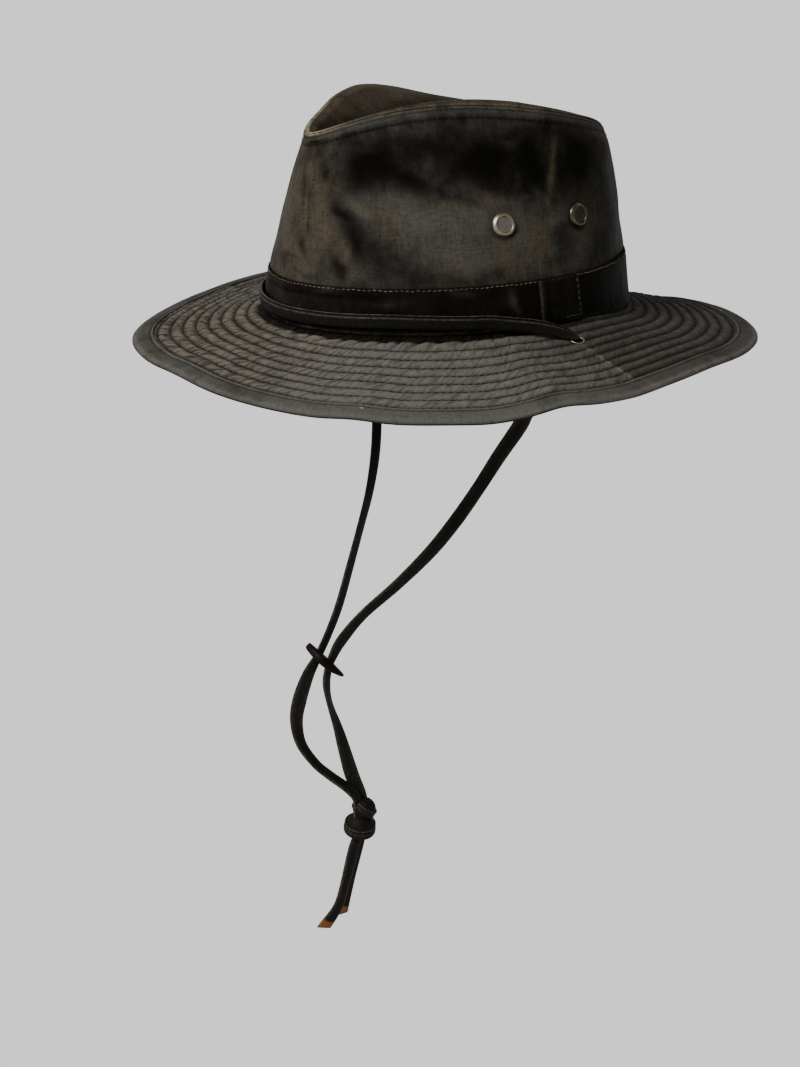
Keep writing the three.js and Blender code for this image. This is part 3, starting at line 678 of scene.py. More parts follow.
def flat_section(count):
    """A rounded oblong of width 2 and thickness 2, as a loop of points."""
    turn = 2 * np.pi * np.arange(count) / count
    return signed_power(np.cos(turn), 0.55), signed_power(np.sin(turn), 0.7)


def swept(name, centre, wide, width, thickness, section, marks=None, edge=None, closed=False):
    """A strip along a line: wide is its width direction and section its loop of points."""
    steps, count = len(centre), len(section[0])
    along = directions(centre)
    if closed:
        along = unit(np.roll(centre, -1, 0) - np.roll(centre, 1, 0))
    wide = unit(wide - along * np.sum(wide * along, -1, keepdims=True))
    thick = np.cross(along, wide)
    rows = steps if closed else steps - 1

    def place(around, up):
        k = np.rint(around * count).astype(int) % count
        j = np.rint(up * rows).astype(int) % steps
        a = section[0][k] * width[j] / 2
        b = section[1][k] * thickness[j] / 2
        point = centre[j] + wide[j] * a[:, None] + thick[j] * b[:, None]
        found = {"edge": (np.abs(section[0]) ** 4 * 0.7 if edge is None else edge)[k]}
        for mark, values in (marks or {}).items():
            found[mark] = values[j]
        return point, found

    bm = moved_grid(count, rows, place)
    if not closed:
        open_edges = [e for e in bm.edges if e.is_boundary]
        bmesh.ops.holes_fill(bm, edges=open_edges, sides=0)
    bmesh.ops.recalc_face_normals(bm, faces=bm.faces)
    return finish_mesh(name, bm)


def laid_stitches(name, rows, thick):
    """All stitches of a piece as one mesh. A row is centres, directions, normals and a length."""
    bm = bmesh.new()
    for centres, along, normals, length in rows:
        side = unit(np.cross(normals, along))
        rise = np.cross(along, side)
        for c, a, s, n in zip(centres * MM, along * length, side * thick, rise * thick):
            matrix = axes_at(c, a, s, n)
            bmesh.ops.create_icosphere(bm, subdivisions=1, radius=0.5, matrix=matrix)
    return finish_mesh(name, bm)


def stitch_line(place, low, high, length, gap):
    """Stitches of a length in mm, evenly spaced along place(t) for t from low to high."""
    t = np.linspace(low, high, 1600)
    line, normals = place(t)
    run = run_along(line)
    count = int(run[-1] / (length + gap))
    at = (np.arange(count) + 0.5) * run[-1] / count

    def along_run(values, shift=0.0):
        return np.stack([np.interp(at + shift, run, values[:, k]) for k in range(3)], -1)

    ahead = along_run(line, 0.6) - along_run(line, -0.6)
    return along_run(line), unit(ahead), unit(along_run(normals)), length * MM


# Materials


class Nodes:
    """Adds nodes to a tree. A value is a number, a colour or the output of another node."""

    def __init__(self, tree):
        self.tree = tree

    def feed(self, socket, value):
        if isinstance(value, bpy.types.NodeSocket):
            self.tree.links.new(value, socket)
        else:
            socket.default_value = value

    def add(self, kind, inputs=None, **settings):
        node = self.tree.nodes.new("ShaderNode" + kind)
        for key, value in settings.items():
            setattr(node, key, value)
        for key, value in (inputs or {}).items():
            self.feed(node.inputs[key], value)
        return node

    def math(self, operation, a, b=0.0):
        return self.add("Math", {0: a, 1: b}, operation=operation).outputs[0]

    def times(self, a, *others):
        for b in others:
            a = self.math("MULTIPLY", a, b)
        return a

    def plus(self, a, *others):
        for b in others:
            a = self.math("ADD", a, b)
        return a

    def minus(self, a, b):
        return self.math("SUBTRACT", a, b)

    def scaled(self, value, factor, start):
        return self.plus(self.times(value, factor), start)

    def swing(self, value, amount):
        """Noise around one half as a swing of an amount around nought."""
        return self.times(self.minus(value, 0.5), amount)

    def mix(self, factor, a, b):
        return self.add("Mix", {0: factor, 6: a, 7: b}, data_type="RGBA").outputs[2]

    def ramp(self, value, low, high):
        inputs = {"Value": value, "From Min": low, "From Max": high}
        return self.add("MapRange", inputs, interpolation_type="SMOOTHSTEP").outputs["Result"]

    def noise(self, vector, scale, detail=3.0, rough=0.55, distortion=0.0):
        inputs = {"Vector": vector, "Scale": scale, "Detail": detail}
        inputs.update({"Roughness": rough, "Distortion": distortion})
        return self.add("TexNoise", inputs).outputs["Fac"]

    def mark(self, name):
        return self.add("Attribute", attribute_name=name).outputs["Fac"]

    def where(self, kind="Object"):
        return self.add("TexCoord").outputs[kind]

    def flat_point(self, x, y):
        return self.add("CombineXYZ", {"X": x, "Y": y}).outputs["Vector"]

    def group(self, name, build, values):
        shared_tree = bpy.data.node_groups.get(name) or build(name)
        return self.add("Group", values, node_tree=shared_tree).outputs

    def finish(self, colour, rough, bump=None, specular=0.5, metallic=0.0):
        """Joins colour, roughness and bump (height, strength, distance) to the shader."""
        shader = self.tree.nodes["Principled BSDF"].inputs
        self.feed(shader["Base Color"], colour)
        self.feed(shader["Roughness"], rough)
        if bump:
            inputs = dict(zip(("Height", "Strength", "Distance"), bump))
            self.feed(shader["Normal"], self.add("Bump", inputs).outputs["Normal"])
        shader["Specular IOR Level"].default_value = specular
        shader["Metallic"].default_value = metallic


def new_group(name, inputs, outputs):
    tree = bpy.data.node_groups.new(name, "ShaderNodeTree")
    for way, sockets in (("INPUT", inputs), ("OUTPUT", outputs)):
        for socket, value in sockets.items():
            kind = "NodeSocketColor" if isinstance(value, tuple) else "NodeSocketFloat"
            made = tree.interface.new_socket(name=socket, in_out=way, socket_type=kind)
            made.default_value = value
    given, put = tree.nodes.new("NodeGroupInput"), tree.nodes.new("NodeGroupOutput")
    return Nodes(tree), given.outputs, put.inputs


def weave_group(name):
    """Fine woven threads, some thicker than others, on a piece's own UV map."""
    inputs = {"Threads Around": 800.0, "Threads Across": 100.0}
    nodes, given, put = new_group(name, inputs, {"Height": 0.0, "Shade": 0.0})
    parts = nodes.add("SeparateXYZ", {"Vector": nodes.where("UV")}).outputs
    x = nodes.times(parts["X"], given["Threads Around"])
    y = nodes.times(parts["Y"], given["Threads Across"])
    waves = [nodes.math("SINE", nodes.times(turns, 2 * math.pi)) for turns in (x, y)]
    slubs = []
    for x_share, y_share in ((0.55, 0.07), (0.07, 0.55)):
        at = nodes.flat_point(nodes.times(x, x_share), nodes.times(y, y_share))
        slubs.append(nodes.noise(at, 1.0, 1.0))
    shade = nodes.plus(*slubs)
    nodes.feed(put["Shade"], nodes.ramp(shade, 0.75, 1.25))
    nodes.feed(put["Height"], nodes.plus(nodes.times(*waves, 0.25), shade))
    return nodes.tree


def wear_group(name):
    """Blotches of oiled, dry and rubbed cloth, with painted sheen and painted shade, from the
    marks on the piece.
    """
    black = (0.0, 0.0, 0.0, 1.0)
    inputs = {tone: black for tone in TONE_SOCKETS} | {"Blotch Size": 30.0, "Dryness": 0.4}
    outputs = {"Colour": black, "Roughness": 0.0, "Height": 0.0}
    nodes, given, put = new_group(name, inputs, outputs)
    spot = nodes.where()
    mark = {kind: nodes.mark(kind) for kind in ("tan", "bloom_and_sheen", "dark", "fold", "painted_shade")}
    blotch = nodes.noise(spot, given["Blotch Size"], 4.0, 0.55, 0.5)
    cloud = nodes.noise(spot, 120.0, 4.0, 0.62, 0.4)
    stretched = nodes.add("Mapping", {"Vector": spot, "Scale": (240.0, 240.0, 60.0)})
    streak = nodes.noise(stretched.outputs["Vector"], 1.0, 3.0, 0.6, 0.4)
    grain = nodes.noise(spot, 620.0, 2.0, 0.6)
    swings = nodes.swing(blotch, 1.0), nodes.swing(cloud, 0.75), nodes.swing(streak, 0.35)
    # The bloom and sheen mark, partly painted sheen, moves the cloth towards its dry tone
    dry = nodes.plus(given["Dryness"], *swings, nodes.times(mark["bloom_and_sheen"], 0.55))
    clean = nodes.minus(1.0, nodes.times(mark["dark"], 0.98))
    dry = nodes.times(nodes.ramp(dry, 0.0, 1.0), clean)
    base = nodes.mix(dry, given["Dark"], given["Mid"])
    rub = nodes.plus(0.80, nodes.swing(streak, 2.2), nodes.swing(cloud, 1.4))
    rub = nodes.times(rub, mark["tan"], clean)
    base = nodes.mix(nodes.add("Clamp", {"Value": rub}).outputs[0], base, given["Worn"])
    ragged = nodes.ramp(nodes.plus(cloud, nodes.swing(grain, 0.5)), 0.34, 0.60)
    edge = nodes.times(mark["fold"], nodes.scaled(ragged, 0.65, 0.35))
    base = nodes.mix(edge, base, given["Fold"])
    shade = nodes.times(nodes.minus(0.5, nodes.ramp(grain, 0.30, 0.62)), 0.55)
    base = nodes.mix(nodes.math("MAXIMUM", shade, 0.0), base, given["Dark"])
    # Painted shade in grooves, stitch valleys, folds and under other parts
    base = nodes.mix(mark["painted_shade"], base, DEEP_SHADE)
    nodes.feed(put["Colour"], base)
    nodes.feed(put["Roughness"], nodes.scaled(blotch, 0.3, 0.42))
    nodes.feed(put["Height"], nodes.plus(nodes.times(grain, 0.6), cloud))
    return nodes.tree


def pucker_group(name):
    """Short slanting puckers between the rows of stitching, on the brim's own UV map."""
    inputs = {"Around": 300.0, "Rows": 12.0, "Slant": 20.0}
    nodes, given, put = new_group(name, inputs, {"Gap": 0.0})
    parts = nodes.add("SeparateXYZ", {"Vector": nodes.where("UV")}).outputs
    x = nodes.times(parts["X"], given["Around"])
    lean = nodes.times(parts["Y"], given["Slant"])
    y = nodes.times(parts["Y"], given["Rows"])
    stroke = nodes.noise(nodes.flat_point(nodes.plus(x, lean), y), 1.0, 1.5, 0.5, 0.3)
    nodes.feed(put["Gap"], nodes.ramp(stroke, 0.56, 0.36))
    return nodes.tree


def bare_material(name):
    material = bpy.data.materials.new(name)
    material.use_nodes = True
    return material, Nodes(material.node_tree)


def shared_material(name, build, *values):
    return bpy.data.materials.get(name) or build(name, *values)


def darker(tone, share):
    return tuple(c * share for c in tone[:3]) + (1,)


def waxed_cotton(name):
    """The cloth of one piece, from its row in the table of fabrics."""
    tone_names, threads, blotch, dryness, weave_depth, puckers = FABRICS[name]
    tones = [getattr(colours(), tone) for tone in tone_names]
    material, nodes = bare_material(name)
    values = dict(zip(TONE_SOCKETS, tones)) | {"Blotch Size": blotch, "Dryness": dryness}
    wear = nodes.group("waxed_wear", wear_group, values)
    values = dict(zip(("Threads Around", "Threads Across"), threads))
    weave = nodes.group("woven_threads", weave_group, values)
    thin = nodes.times(nodes.minus(1.0, weave["Shade"]), weave_depth)
    shaded = nodes.mix(thin, wear["Colour"], tones[0])
    height = nodes.plus(weave["Height"], wear["Height"])
    if puckers:
        values = dict(zip(("Around", "Rows", "Slant"), puckers))
        sewn = nodes.group("quilt_puckers", pucker_group, values)
        # The gaps of the puckers are painted shade, mixed towards the oiled tone
        gap = nodes.times(sewn["Gap"], nodes.mark("pucker"))
        shaded = nodes.mix(gap, shaded, tones[0])
        height = nodes.minus(height, nodes.times(gap, 2.0))
    nodes.finish(shaded, wear["Roughness"], (height, 0.32, 0.0004), specular=0.02)
    return material


def lace_material(name):
    tones = colours()
    material, nodes = bare_material(name)
    spot = nodes.where()
    grain = nodes.noise(spot, 700.0, 4.0, 0.6)
    patch = nodes.noise(spot, 60.0)
    worn_spots = nodes.ramp(grain, 0.25, 0.65), nodes.ramp(patch, 0.25, 0.55)
    rubbed = nodes.times(nodes.mark("edge"), *worn_spots)
    base = nodes.mix(rubbed, tones.lace, tones.lace_worn)
    dusty = nodes.times(nodes.ramp(grain, 0.5, 0.8), 0.11)
    base = nodes.mix(dusty, base, tones.lace_worn)
    ragged = nodes.plus(nodes.mark("cut"), nodes.times(grain, 0.3))
    base = nodes.mix(nodes.ramp(ragged, 0.6, 0.8), base, tones.lace_cut)
    nodes.finish(base, nodes.scaled(patch, 0.3, 0.42), (grain, 0.4, 0.0002), specular=0.05)
    return material


def leather_material(name):
    tones = colours()
    material, nodes = bare_material(name)
    spot = nodes.where()
    pores = nodes.add("TexVoronoi", {"Vector": spot, "Scale": 900.0}).outputs["Distance"]
    patch = nodes.noise(spot, 140.0, 4.0)
    base = nodes.mix(nodes.ramp(patch, 0.42, 0.75), tones.slider, tones.slider_worn)
    base = nodes.mix(nodes.ramp(pores, 0.2, 0.6), base, tones.slider)
    nodes.finish(base, nodes.scaled(patch, 0.3, 0.35), (pores, 0.3, 0.0002), specular=0.05)
    return material


def metal_material(name, tone, dull):
    material, nodes = bare_material(name)
    tarnish = nodes.noise(nodes.where(), 500.0, 5.0, 0.65)
    base = nodes.mix(nodes.ramp(tarnish, 0.45, 0.75), tone, darker(tone, 0.35))
    nodes.finish(base, nodes.scaled(tarnish, 0.3, dull), (tarnish, 0.2, 0.0001), metallic=1.0)
    return material


def thread_material(name, tone, ragged):
    material, nodes = bare_material(name)
    spot = nodes.where()
    fibre = nodes.noise(spot, 1500.0, 2.0)
    base = nodes.mix(nodes.ramp(fibre, 0.3, 0.8), tone, darker(tone, 0.25))
    faded = nodes.times(nodes.ramp(nodes.noise(spot, 110.0), 0.4, 0.62), ragged)
    base = nodes.mix(faded, base, darker(tone, 0.25))
    nodes.finish(base, 0.8, (fibre, 0.4, 0.0001), specular=0.1)
    return material


def floor_material(name):
    tone = colours().floor
    material, nodes = bare_material(name)
    cloudy = nodes.noise(nodes.where(), 0.6, 2.0)
    nodes.finish(nodes.mix(cloudy, tone, darker(tone, 0.985)), 1.0, specular=0.0)
    return material


def lace_leather():
    return shared_material("waxed_lace", lace_material)


def aged_brass():
    return shared_material("aged_brass", metal_material, colours().brass, 0.26)


def dress(piece, material, slot, *nodes):
    piece.data.materials.append(material)
    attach(piece, "root")
    if nodes:
        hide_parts(*nodes)


# Places on the hat that several pieces use


def vent_place(side, forward):
    low, high = math.radians(30), math.radians(150)
    for _ in range(30):
        angle = (low + high) / 2
        ahead = wall_at_height(angle, VENT["height"], 0.0)[1] < -forward
        low, high = (angle, high) if ahead else (low, angle)
    angle = np.array(side * low)
    share = share_at(angle, VENT["height"])
    return wall_point(angle, share), wall_normal(angle, share)


def vent_painted_shadow(points):
    """Painted shadow round the vents, most of it below them."""
    vent_shadow = np.zeros(len(points))
    for side in (1, -1):
        for forward in (VENT["forward"], -VENT["forward"]):
            centre, _ = vent_place(side, forward)
            away = np.linalg.norm(points - centre, axis=1)
            below = np.clip((centre[2] + 1 - points[:, 2]) / 4, 0.2, 1)
            vent_shadow = np.maximum(vent_shadow, below * hump(away, 6.4, 1.5))
    return vent_shadow


def row_drift(around, far):
    """How far the stitch rows of the brim wander, in mm."""
    return 0.35 * soft_noise(around * 70, far / 30, 51, 70)


def hole_place(side):
    angle = np.array(side * math.pi / 2)
    return brim_point(angle, HOLE["from_seam"], 0), brim_normal(angle, HOLE["from_seam"])


def seam_offset(angle, share, side):
    """Distance in degrees from the side seam of the crown."""
    table = np.array(CROWN_SEAM)[::-1]
    middle = np.interp(share, table[:, 1], table[:, 0])
    return np.degrees(angle) * side - middle


def route_of(side, table):
    point, normal = hole_place(side)
    lowest = LACE_IN_HOLE[-1] - GAP
    rises = (lowest, lowest - HOLE["lead_out"] / 2, lowest - HOLE["lead_out"])
    start = [(*((point + normal * rise) * MM), table[0][3], 4.4) for rise in rises]
    return smooth_route(start + list(table), 8)


def lay_strand(name, side, table, tail_node, strand_node):
    """The free lace on one side, from under its brim hole to its cut end."""
    rows = route_of(side, table)
    centre, turn, width = rows[:, :3] / MM, np.radians(rows[:, 3]), rows[:, 4]
    along = directions(centre)
    across = unit(np.cross(along, BACK))
    deep = np.cross(across, along)
    wide = across * np.cos(turn)[:, None] + deep * np.sin(turn)[:, None]
    thick = np.full(len(rows), sizes().lace_thickness / MM)
    run = run_along(centre)
    to_end = run[-1] - run
    cut = fraction(1.15 - to_end / 8.0)
    thick = thick * np.clip(0.55 + to_end / 4, 0.55, 1)
    piece = swept(name, centre, wide, width, thick, flat_section(16), {"cut": cut})
    slant_end(piece, centre[-1], wide[-1], unit(centre[-1] - centre[-2]), width[-1])
    dress(piece, lace_leather(), "lace_leather", strand_node, tail_node)


def slant_end(piece, tip, wide, along, width):
    """Cuts the lace's end at a slant by drawing one corner of it out."""
    for vert in piece.data.vertices:
        away = np.array(vert.co) / MM - tip
        near = max(0.0, 1 + float(away @ along) / 7.0)
        side = float(away @ wide) / width
        shift = (side - 0.1) * 3.2 * near * MM
        vert.co += Vector(along) * shift


def build_slider():
    """A flat oval of leather with two holes, on both strands."""
    size = sizes()
    bm = bmesh.new()
    bmesh.ops.create_circle(bm, cap_ends=True, segments=56, radius=0.5)
    low = size.slider_thickness / 2
    shape = (size.slider_length, size.slider_width, 1)
    bmesh.ops.scale(bm, vec=shape, verts=bm.verts)
    bmesh.ops.translate(bm, vec=(0, 0, -low), verts=bm.verts)
    top = bmesh.ops.extrude_face_region(bm, geom=list(bm.faces))["geom"]
    raised = [g for g in top if isinstance(g, bmesh.types.BMVert)]
    bmesh.ops.translate(bm, vec=(0, 0, 2 * low), verts=raised)
    bmesh.ops.recalc_face_normals(bm, faces=bm.faces)
    rims = [e for e in bm.edges if abs(e.verts[0].co.z - e.verts[1].co.z) < 1e-7]
    bmesh.ops.bevel(
        bm, geom=rims, offset=0.0012, segments=3, profile=0.5, affect="EDGES", material=-1
    )
    for vert in bm.verts:
        place = vert.co.x / size.slider_length * 2
        slim = 1 - (0.66 if place > 0 else 0.18) * abs(place) ** 1.7
        vert.co.z = vert.co.z * slim - 0.0008 * place**2
        vert.co.y *= 1 - 0.2 * place**2
    long = Vector(SLIDER["long"]).normalized()
    across = Vector(SLIDER["across"])
    across = (across - long * across.dot(long)).normalized()
    matrix = axes_at(SLIDER["centre"], long, across, long.cross(across))
    bmesh.ops.transform(bm, matrix=matrix, verts=bm.verts)
    slider = finish_mesh("strap_slider_leather", bm)
    for side, table in ((1, LEFT_ROUTE), (-1, RIGHT_ROUTE)):
        drill_slider(slider, route_of(side, table)[:, :3])
    return slider


def drill_slider(slider, line):
    """Cuts the hole of one strand through the slider."""
    away = np.linalg.norm(line - np.array(SLIDER["centre"]), axis=1)
    k = int(np.argmin(away))
    way = Vector(line[min(k + 2, len(line) - 1)] - line[k - 2]).normalized()
    radius, depth = SLIDER["hole_radius"], SLIDER["drill_length"]
    bm = bmesh.new()
    bmesh.ops.create_cone(
        bm, cap_ends=True, segments=24, radius1=radius, radius2=radius, depth=depth
    )
    placed(bm, Vector(line[k]), way)
    cutter = finish_mesh("slider_drill", bm, smooth=False)
    cut = slider.modifiers.new("hole", "BOOLEAN")
    cut.object = cutter
    cut.operation = "DIFFERENCE"
    cut.solver = "EXACT"
    graph = bpy.context.evaluated_depsgraph_get()
    made = bpy.data.meshes.new_from_object(slider.evaluated_get(graph))
    slider.modifiers.remove(cut)
    slider.data = made
    bpy.data.objects.remove(cutter)


def knot_band(centre, normal, start, radii, width, tilt, rise):
    """One turn of the lace round the knot, as an oval band."""
    turn = np.linspace(0, 2 * np.pi, 73)[:-1]
    normal = unit(np.array(normal, float))
    first = unit(np.array(start, float) - normal * np.dot(start, normal))
    second = np.cross(normal, first)
    line = np.array(centre) / MM + first * (radii[0] * np.cos(turn))[:, None]
    line = line + second * (radii[1] * np.sin(turn))[:, None]
    line = line + normal * (rise * np.sin(turn))[:, None]
    outward = unit(line - np.array(centre) / MM)
    wide = normal + outward * tilt
    return line, wide, np.full(len(turn), width)


def build_knot():
    """The tied lace: a core for each lobe and the turns of lace that wrap it."""
    bm = bmesh.new()
    for centre, half, share in KNOT_LOBES:
        made = bmesh.ops.create_icosphere(bm, subdivisions=4, radius=1)["verts"]
        bmesh.ops.scale(bm, vec=[h * share for h in half], verts=made)
        bmesh.ops.translate(bm, vec=centre, verts=made)
    parts = [finish_mesh("knot_core", bm)]
    for k, turn in enumerate(KNOT_TURNS):
        line, wide, widths = knot_band(*turn)
        thick = np.full(len(line), KNOT_LACE_THICKNESS)
        section = creased_section(40, 0.40 - 0.2 * k, 0.45 - 0.15 * k)
        lines = 0.9 * hump(section[0], 0.68, 0.1) + 0.7 * hump(section[0], 0.1, 0.1)
        band = line, wide, widths, thick, section
        parts.append(swept(f"knot_turn_{k}", *band, edge=lines, closed=True))
    return joined(parts, "strap_knot_wraps")


def creased_section(count, place, depth):
    """The flat section with a shallow crease along its outer side."""
    a, b = flat_section(count)
    crease = depth * hump(a, place, 0.22)
    return a, np.sign(b) * (np.abs(b) - crease * (np.abs(b) > 0.5))


def joined(parts, name):
    bm = bmesh.new()
    for part in parts:
        bm.from_mesh(part.data)
        bpy.data.objects.remove(part)
    return finish_mesh(name, bm)


# Pieces


class HatStage(bpy.types.Operator):
    """Pale floor, soft studio light and the camera"""

    bl_idname = "hat.stage"
    bl_label = "Stage"

    def execute(self, context):
        scene = context.scene
        camera = bpy.data.objects.new("camera", bpy.data.cameras.new("camera"))
        scene.collection.objects.link(camera)
        axes = CAMERA["right"], CAMERA["up"], CAMERA["back"]
        camera.matrix_world = axes_at(CAMERA["place"], *axes)
        camera.data.lens = CAMERA["lens"]
        camera.data.sensor_width = 36
        camera.data.clip_start = 0.05
        camera.data.clip_end = 60
        scene.camera = camera
        bm = bmesh.new()
        bmesh.ops.create_grid(bm, x_segments=4, y_segments=4, size=FLOOR["half_side"])
        bmesh.ops.translate(bm, vec=(0, 0, FLOOR["level"]), verts=bm.verts)
        floor = finish_mesh("floor", bm, smooth=False)
        floor.data.materials.append(floor_material("pale_floor"))
        world = bpy.data.worlds.new("studio")
        scene.world = world
        world.use_nodes = True
        sky = world.node_tree.nodes["Background"]
        sky.inputs["Color"].default_value = (1.0, 1.0, 1.0, 1)
        sky.inputs["Strength"].default_value = SKY_STRENGTH
        for name, (place, energy, softness) in LAMPS.items():
            light = bpy.data.lights.new(name, "SUN")
            light.energy = energy
            light.angle = math.radians(softness)
            lamp = bpy.data.objects.new(name, light)
            lamp.rotation_mode = "QUATERNION"
            lamp.rotation_quaternion = Vector(place).to_track_quat("Z", "Y")
            scene.collection.objects.link(lamp)
        return {"FINISHED"}


class HatChinLace(bpy.types.Operator):
    """Free strands of the chin lace with the slider and the knot"""

    bl_idname = "hat.chin_lace"
    bl_label = "Chin lace"

    def execute(self, context):
        slider = build_slider()
        dress(slider, leather_material("oiled_leather"), "slider_leather", "strap_slider")
        dress(build_knot(), lace_leather(), "lace_leather", "strap_knot")
        lay_strand("strap_left_lace", 1, LEFT_ROUTE, "strap_tail_short", "strap_left")
        lay_strand("strap_right_lace", -1, RIGHT_ROUTE, "strap_tail_long", "strap_right")
        return {"FINISHED"}


class HatCrownSide(bpy.types.Operator):
    """Side wall of the crown with its rolled top edge and side seams"""

    bl_idname = "hat.crown_side"
    bl_label = "Crown side"

    def execute(self, context):
        rows = 84
        crumple = sizes().crown_crumple / MM
        roll = sizes().edge_roll / MM
        even, close = np.linspace(0, 0.975, 75), np.linspace(0.98, 1.0, 6)
        share_rows = np.concatenate([[-0.027], even, close, [1.001, 1.000, 0.997]])
        roll_rows = np.zeros(rows + 1)
        roll_rows[-13:] = (0, 0.02, 0.08, 0.14, 0.2, 0.3, 0.36, 0.4, 0.36, 0.16, -0.2, -0.6, -0.9)
        roll_rows *= roll / 1.2

        def place(around, up):
            angle, degrees, j = spot_on_grid(around, up, rows)
            share, out = share_rows[j], roll_rows[j]
            rim = rim_point(angle)[:, 2]
            height = share * rim
            calm = fraction(share * 6) * fraction((1 - share) * 7)
            soft = soft_noise(around * 22, height / 24, 11, 22)
            soft = soft + 0.5 * soft_noise(around * 44, height / 13 + 3, 12, 44)
            out = out + crumple * calm * soft
            row_depth = hump(rim - height, SEAM_ROW_BELOW_RIM, 0.55)
            out = out - 0.35 * row_depth
            seam = np.zeros_like(angle)
            for side in (1, -1):
                away = seam_offset(angle, share, side) * side
                seam = seam + hump(away, 0, 0.55)
                step = 0.35 / (1 + np.exp(np.minimum(-away / 0.35, 600))) * hump(away, 0, 5)
                out = out + step * calm
            out = out - 0.3 * seam * calm
            wall = wall_point(angle, np.minimum(share, 1.0))
            wall[:, 2] += np.where(share > 1, (share - 1) * rim, 0) + np.where(j > 82, -0.2, 0)
            point = wall + wall_normal(angle, fraction(share)) * out[:, None]
            sink = seam_drop(angle) * fraction(1 - share / 0.12)
            point[:, 2] = np.where(share < 0, -CROWN_FOOT, point[:, 2]) - sink
            folded = np.select((j == 79, j == 80, j == 81, j == 82), (0.1, 0.45, 1.0, 0.6))
            folded = folded * rubbed_and_lit_edge(degrees)
            groove = ramp(roll_rows[j], 0.0, -0.4)
            # Painted light on the strip below the top edge, most where the light falls, kept
            # darker below the front corner
            lit_strip = ramp(share, 0.955, 0.02) * (roll_rows[j] > -0.1)
            lit = 0.30 + 0.70 * hump(degrees, 24, 26)
            lit = lit + 0.30 * hump(degrees, 118, 16)
            front_dim = hump(degrees, 9, 6) * (rim - height > 2.4)
            lit_strip = lit_strip * lit * (1 - 0.9 * front_dim)
            beside = seam_offset(angle, share, 1), seam_offset(angle, share, -1)
            soft_seam = sum(hump(away, 0, 1.5) for away in beside)
            seam_wear = np.clip((height - 50) / 10, 0.15, 1) * np.clip((94 - height) / 6, 0.5, 1)
            seam_wear = seam_wear * (0.15 * seam + 0.55 * soft_seam) * calm
            clear = 1 - np.maximum(0.8 * lit_strip, seam_wear)
            # Painted shadow round the vents, most of it below them
            vent_shadow = 0.85 * vent_painted_shadow(point)
            # Painted shade in the groove of the top fold, in the stitch row below it and round the
            # vents
            marks = {
                "tan": np.maximum(patches(CROWN_TAN, degrees, height), seam_wear),
                "bloom_and_sheen": np.maximum(patches(CROWN_BLOOM_AND_SHEEN, degrees, height), 0.8 * lit_strip),
                "dark": patches(CROWN_DARK, degrees, height) * clear,
                "fold": folded,
                "painted_shade": np.maximum.reduce((groove, 0.55 * row_depth, vent_shadow)),
            }
            return point, marks

        thick = CROWN_CLOTH * MM
        wall = cloth_sheet("crown_side_cloth", COLUMNS["crown"], rows, place, from_middle, thick)
        dress(wall, waxed_cotton("crown_cotton"), "crown_cloth", "crown_side")
        return {"FINISHED"}


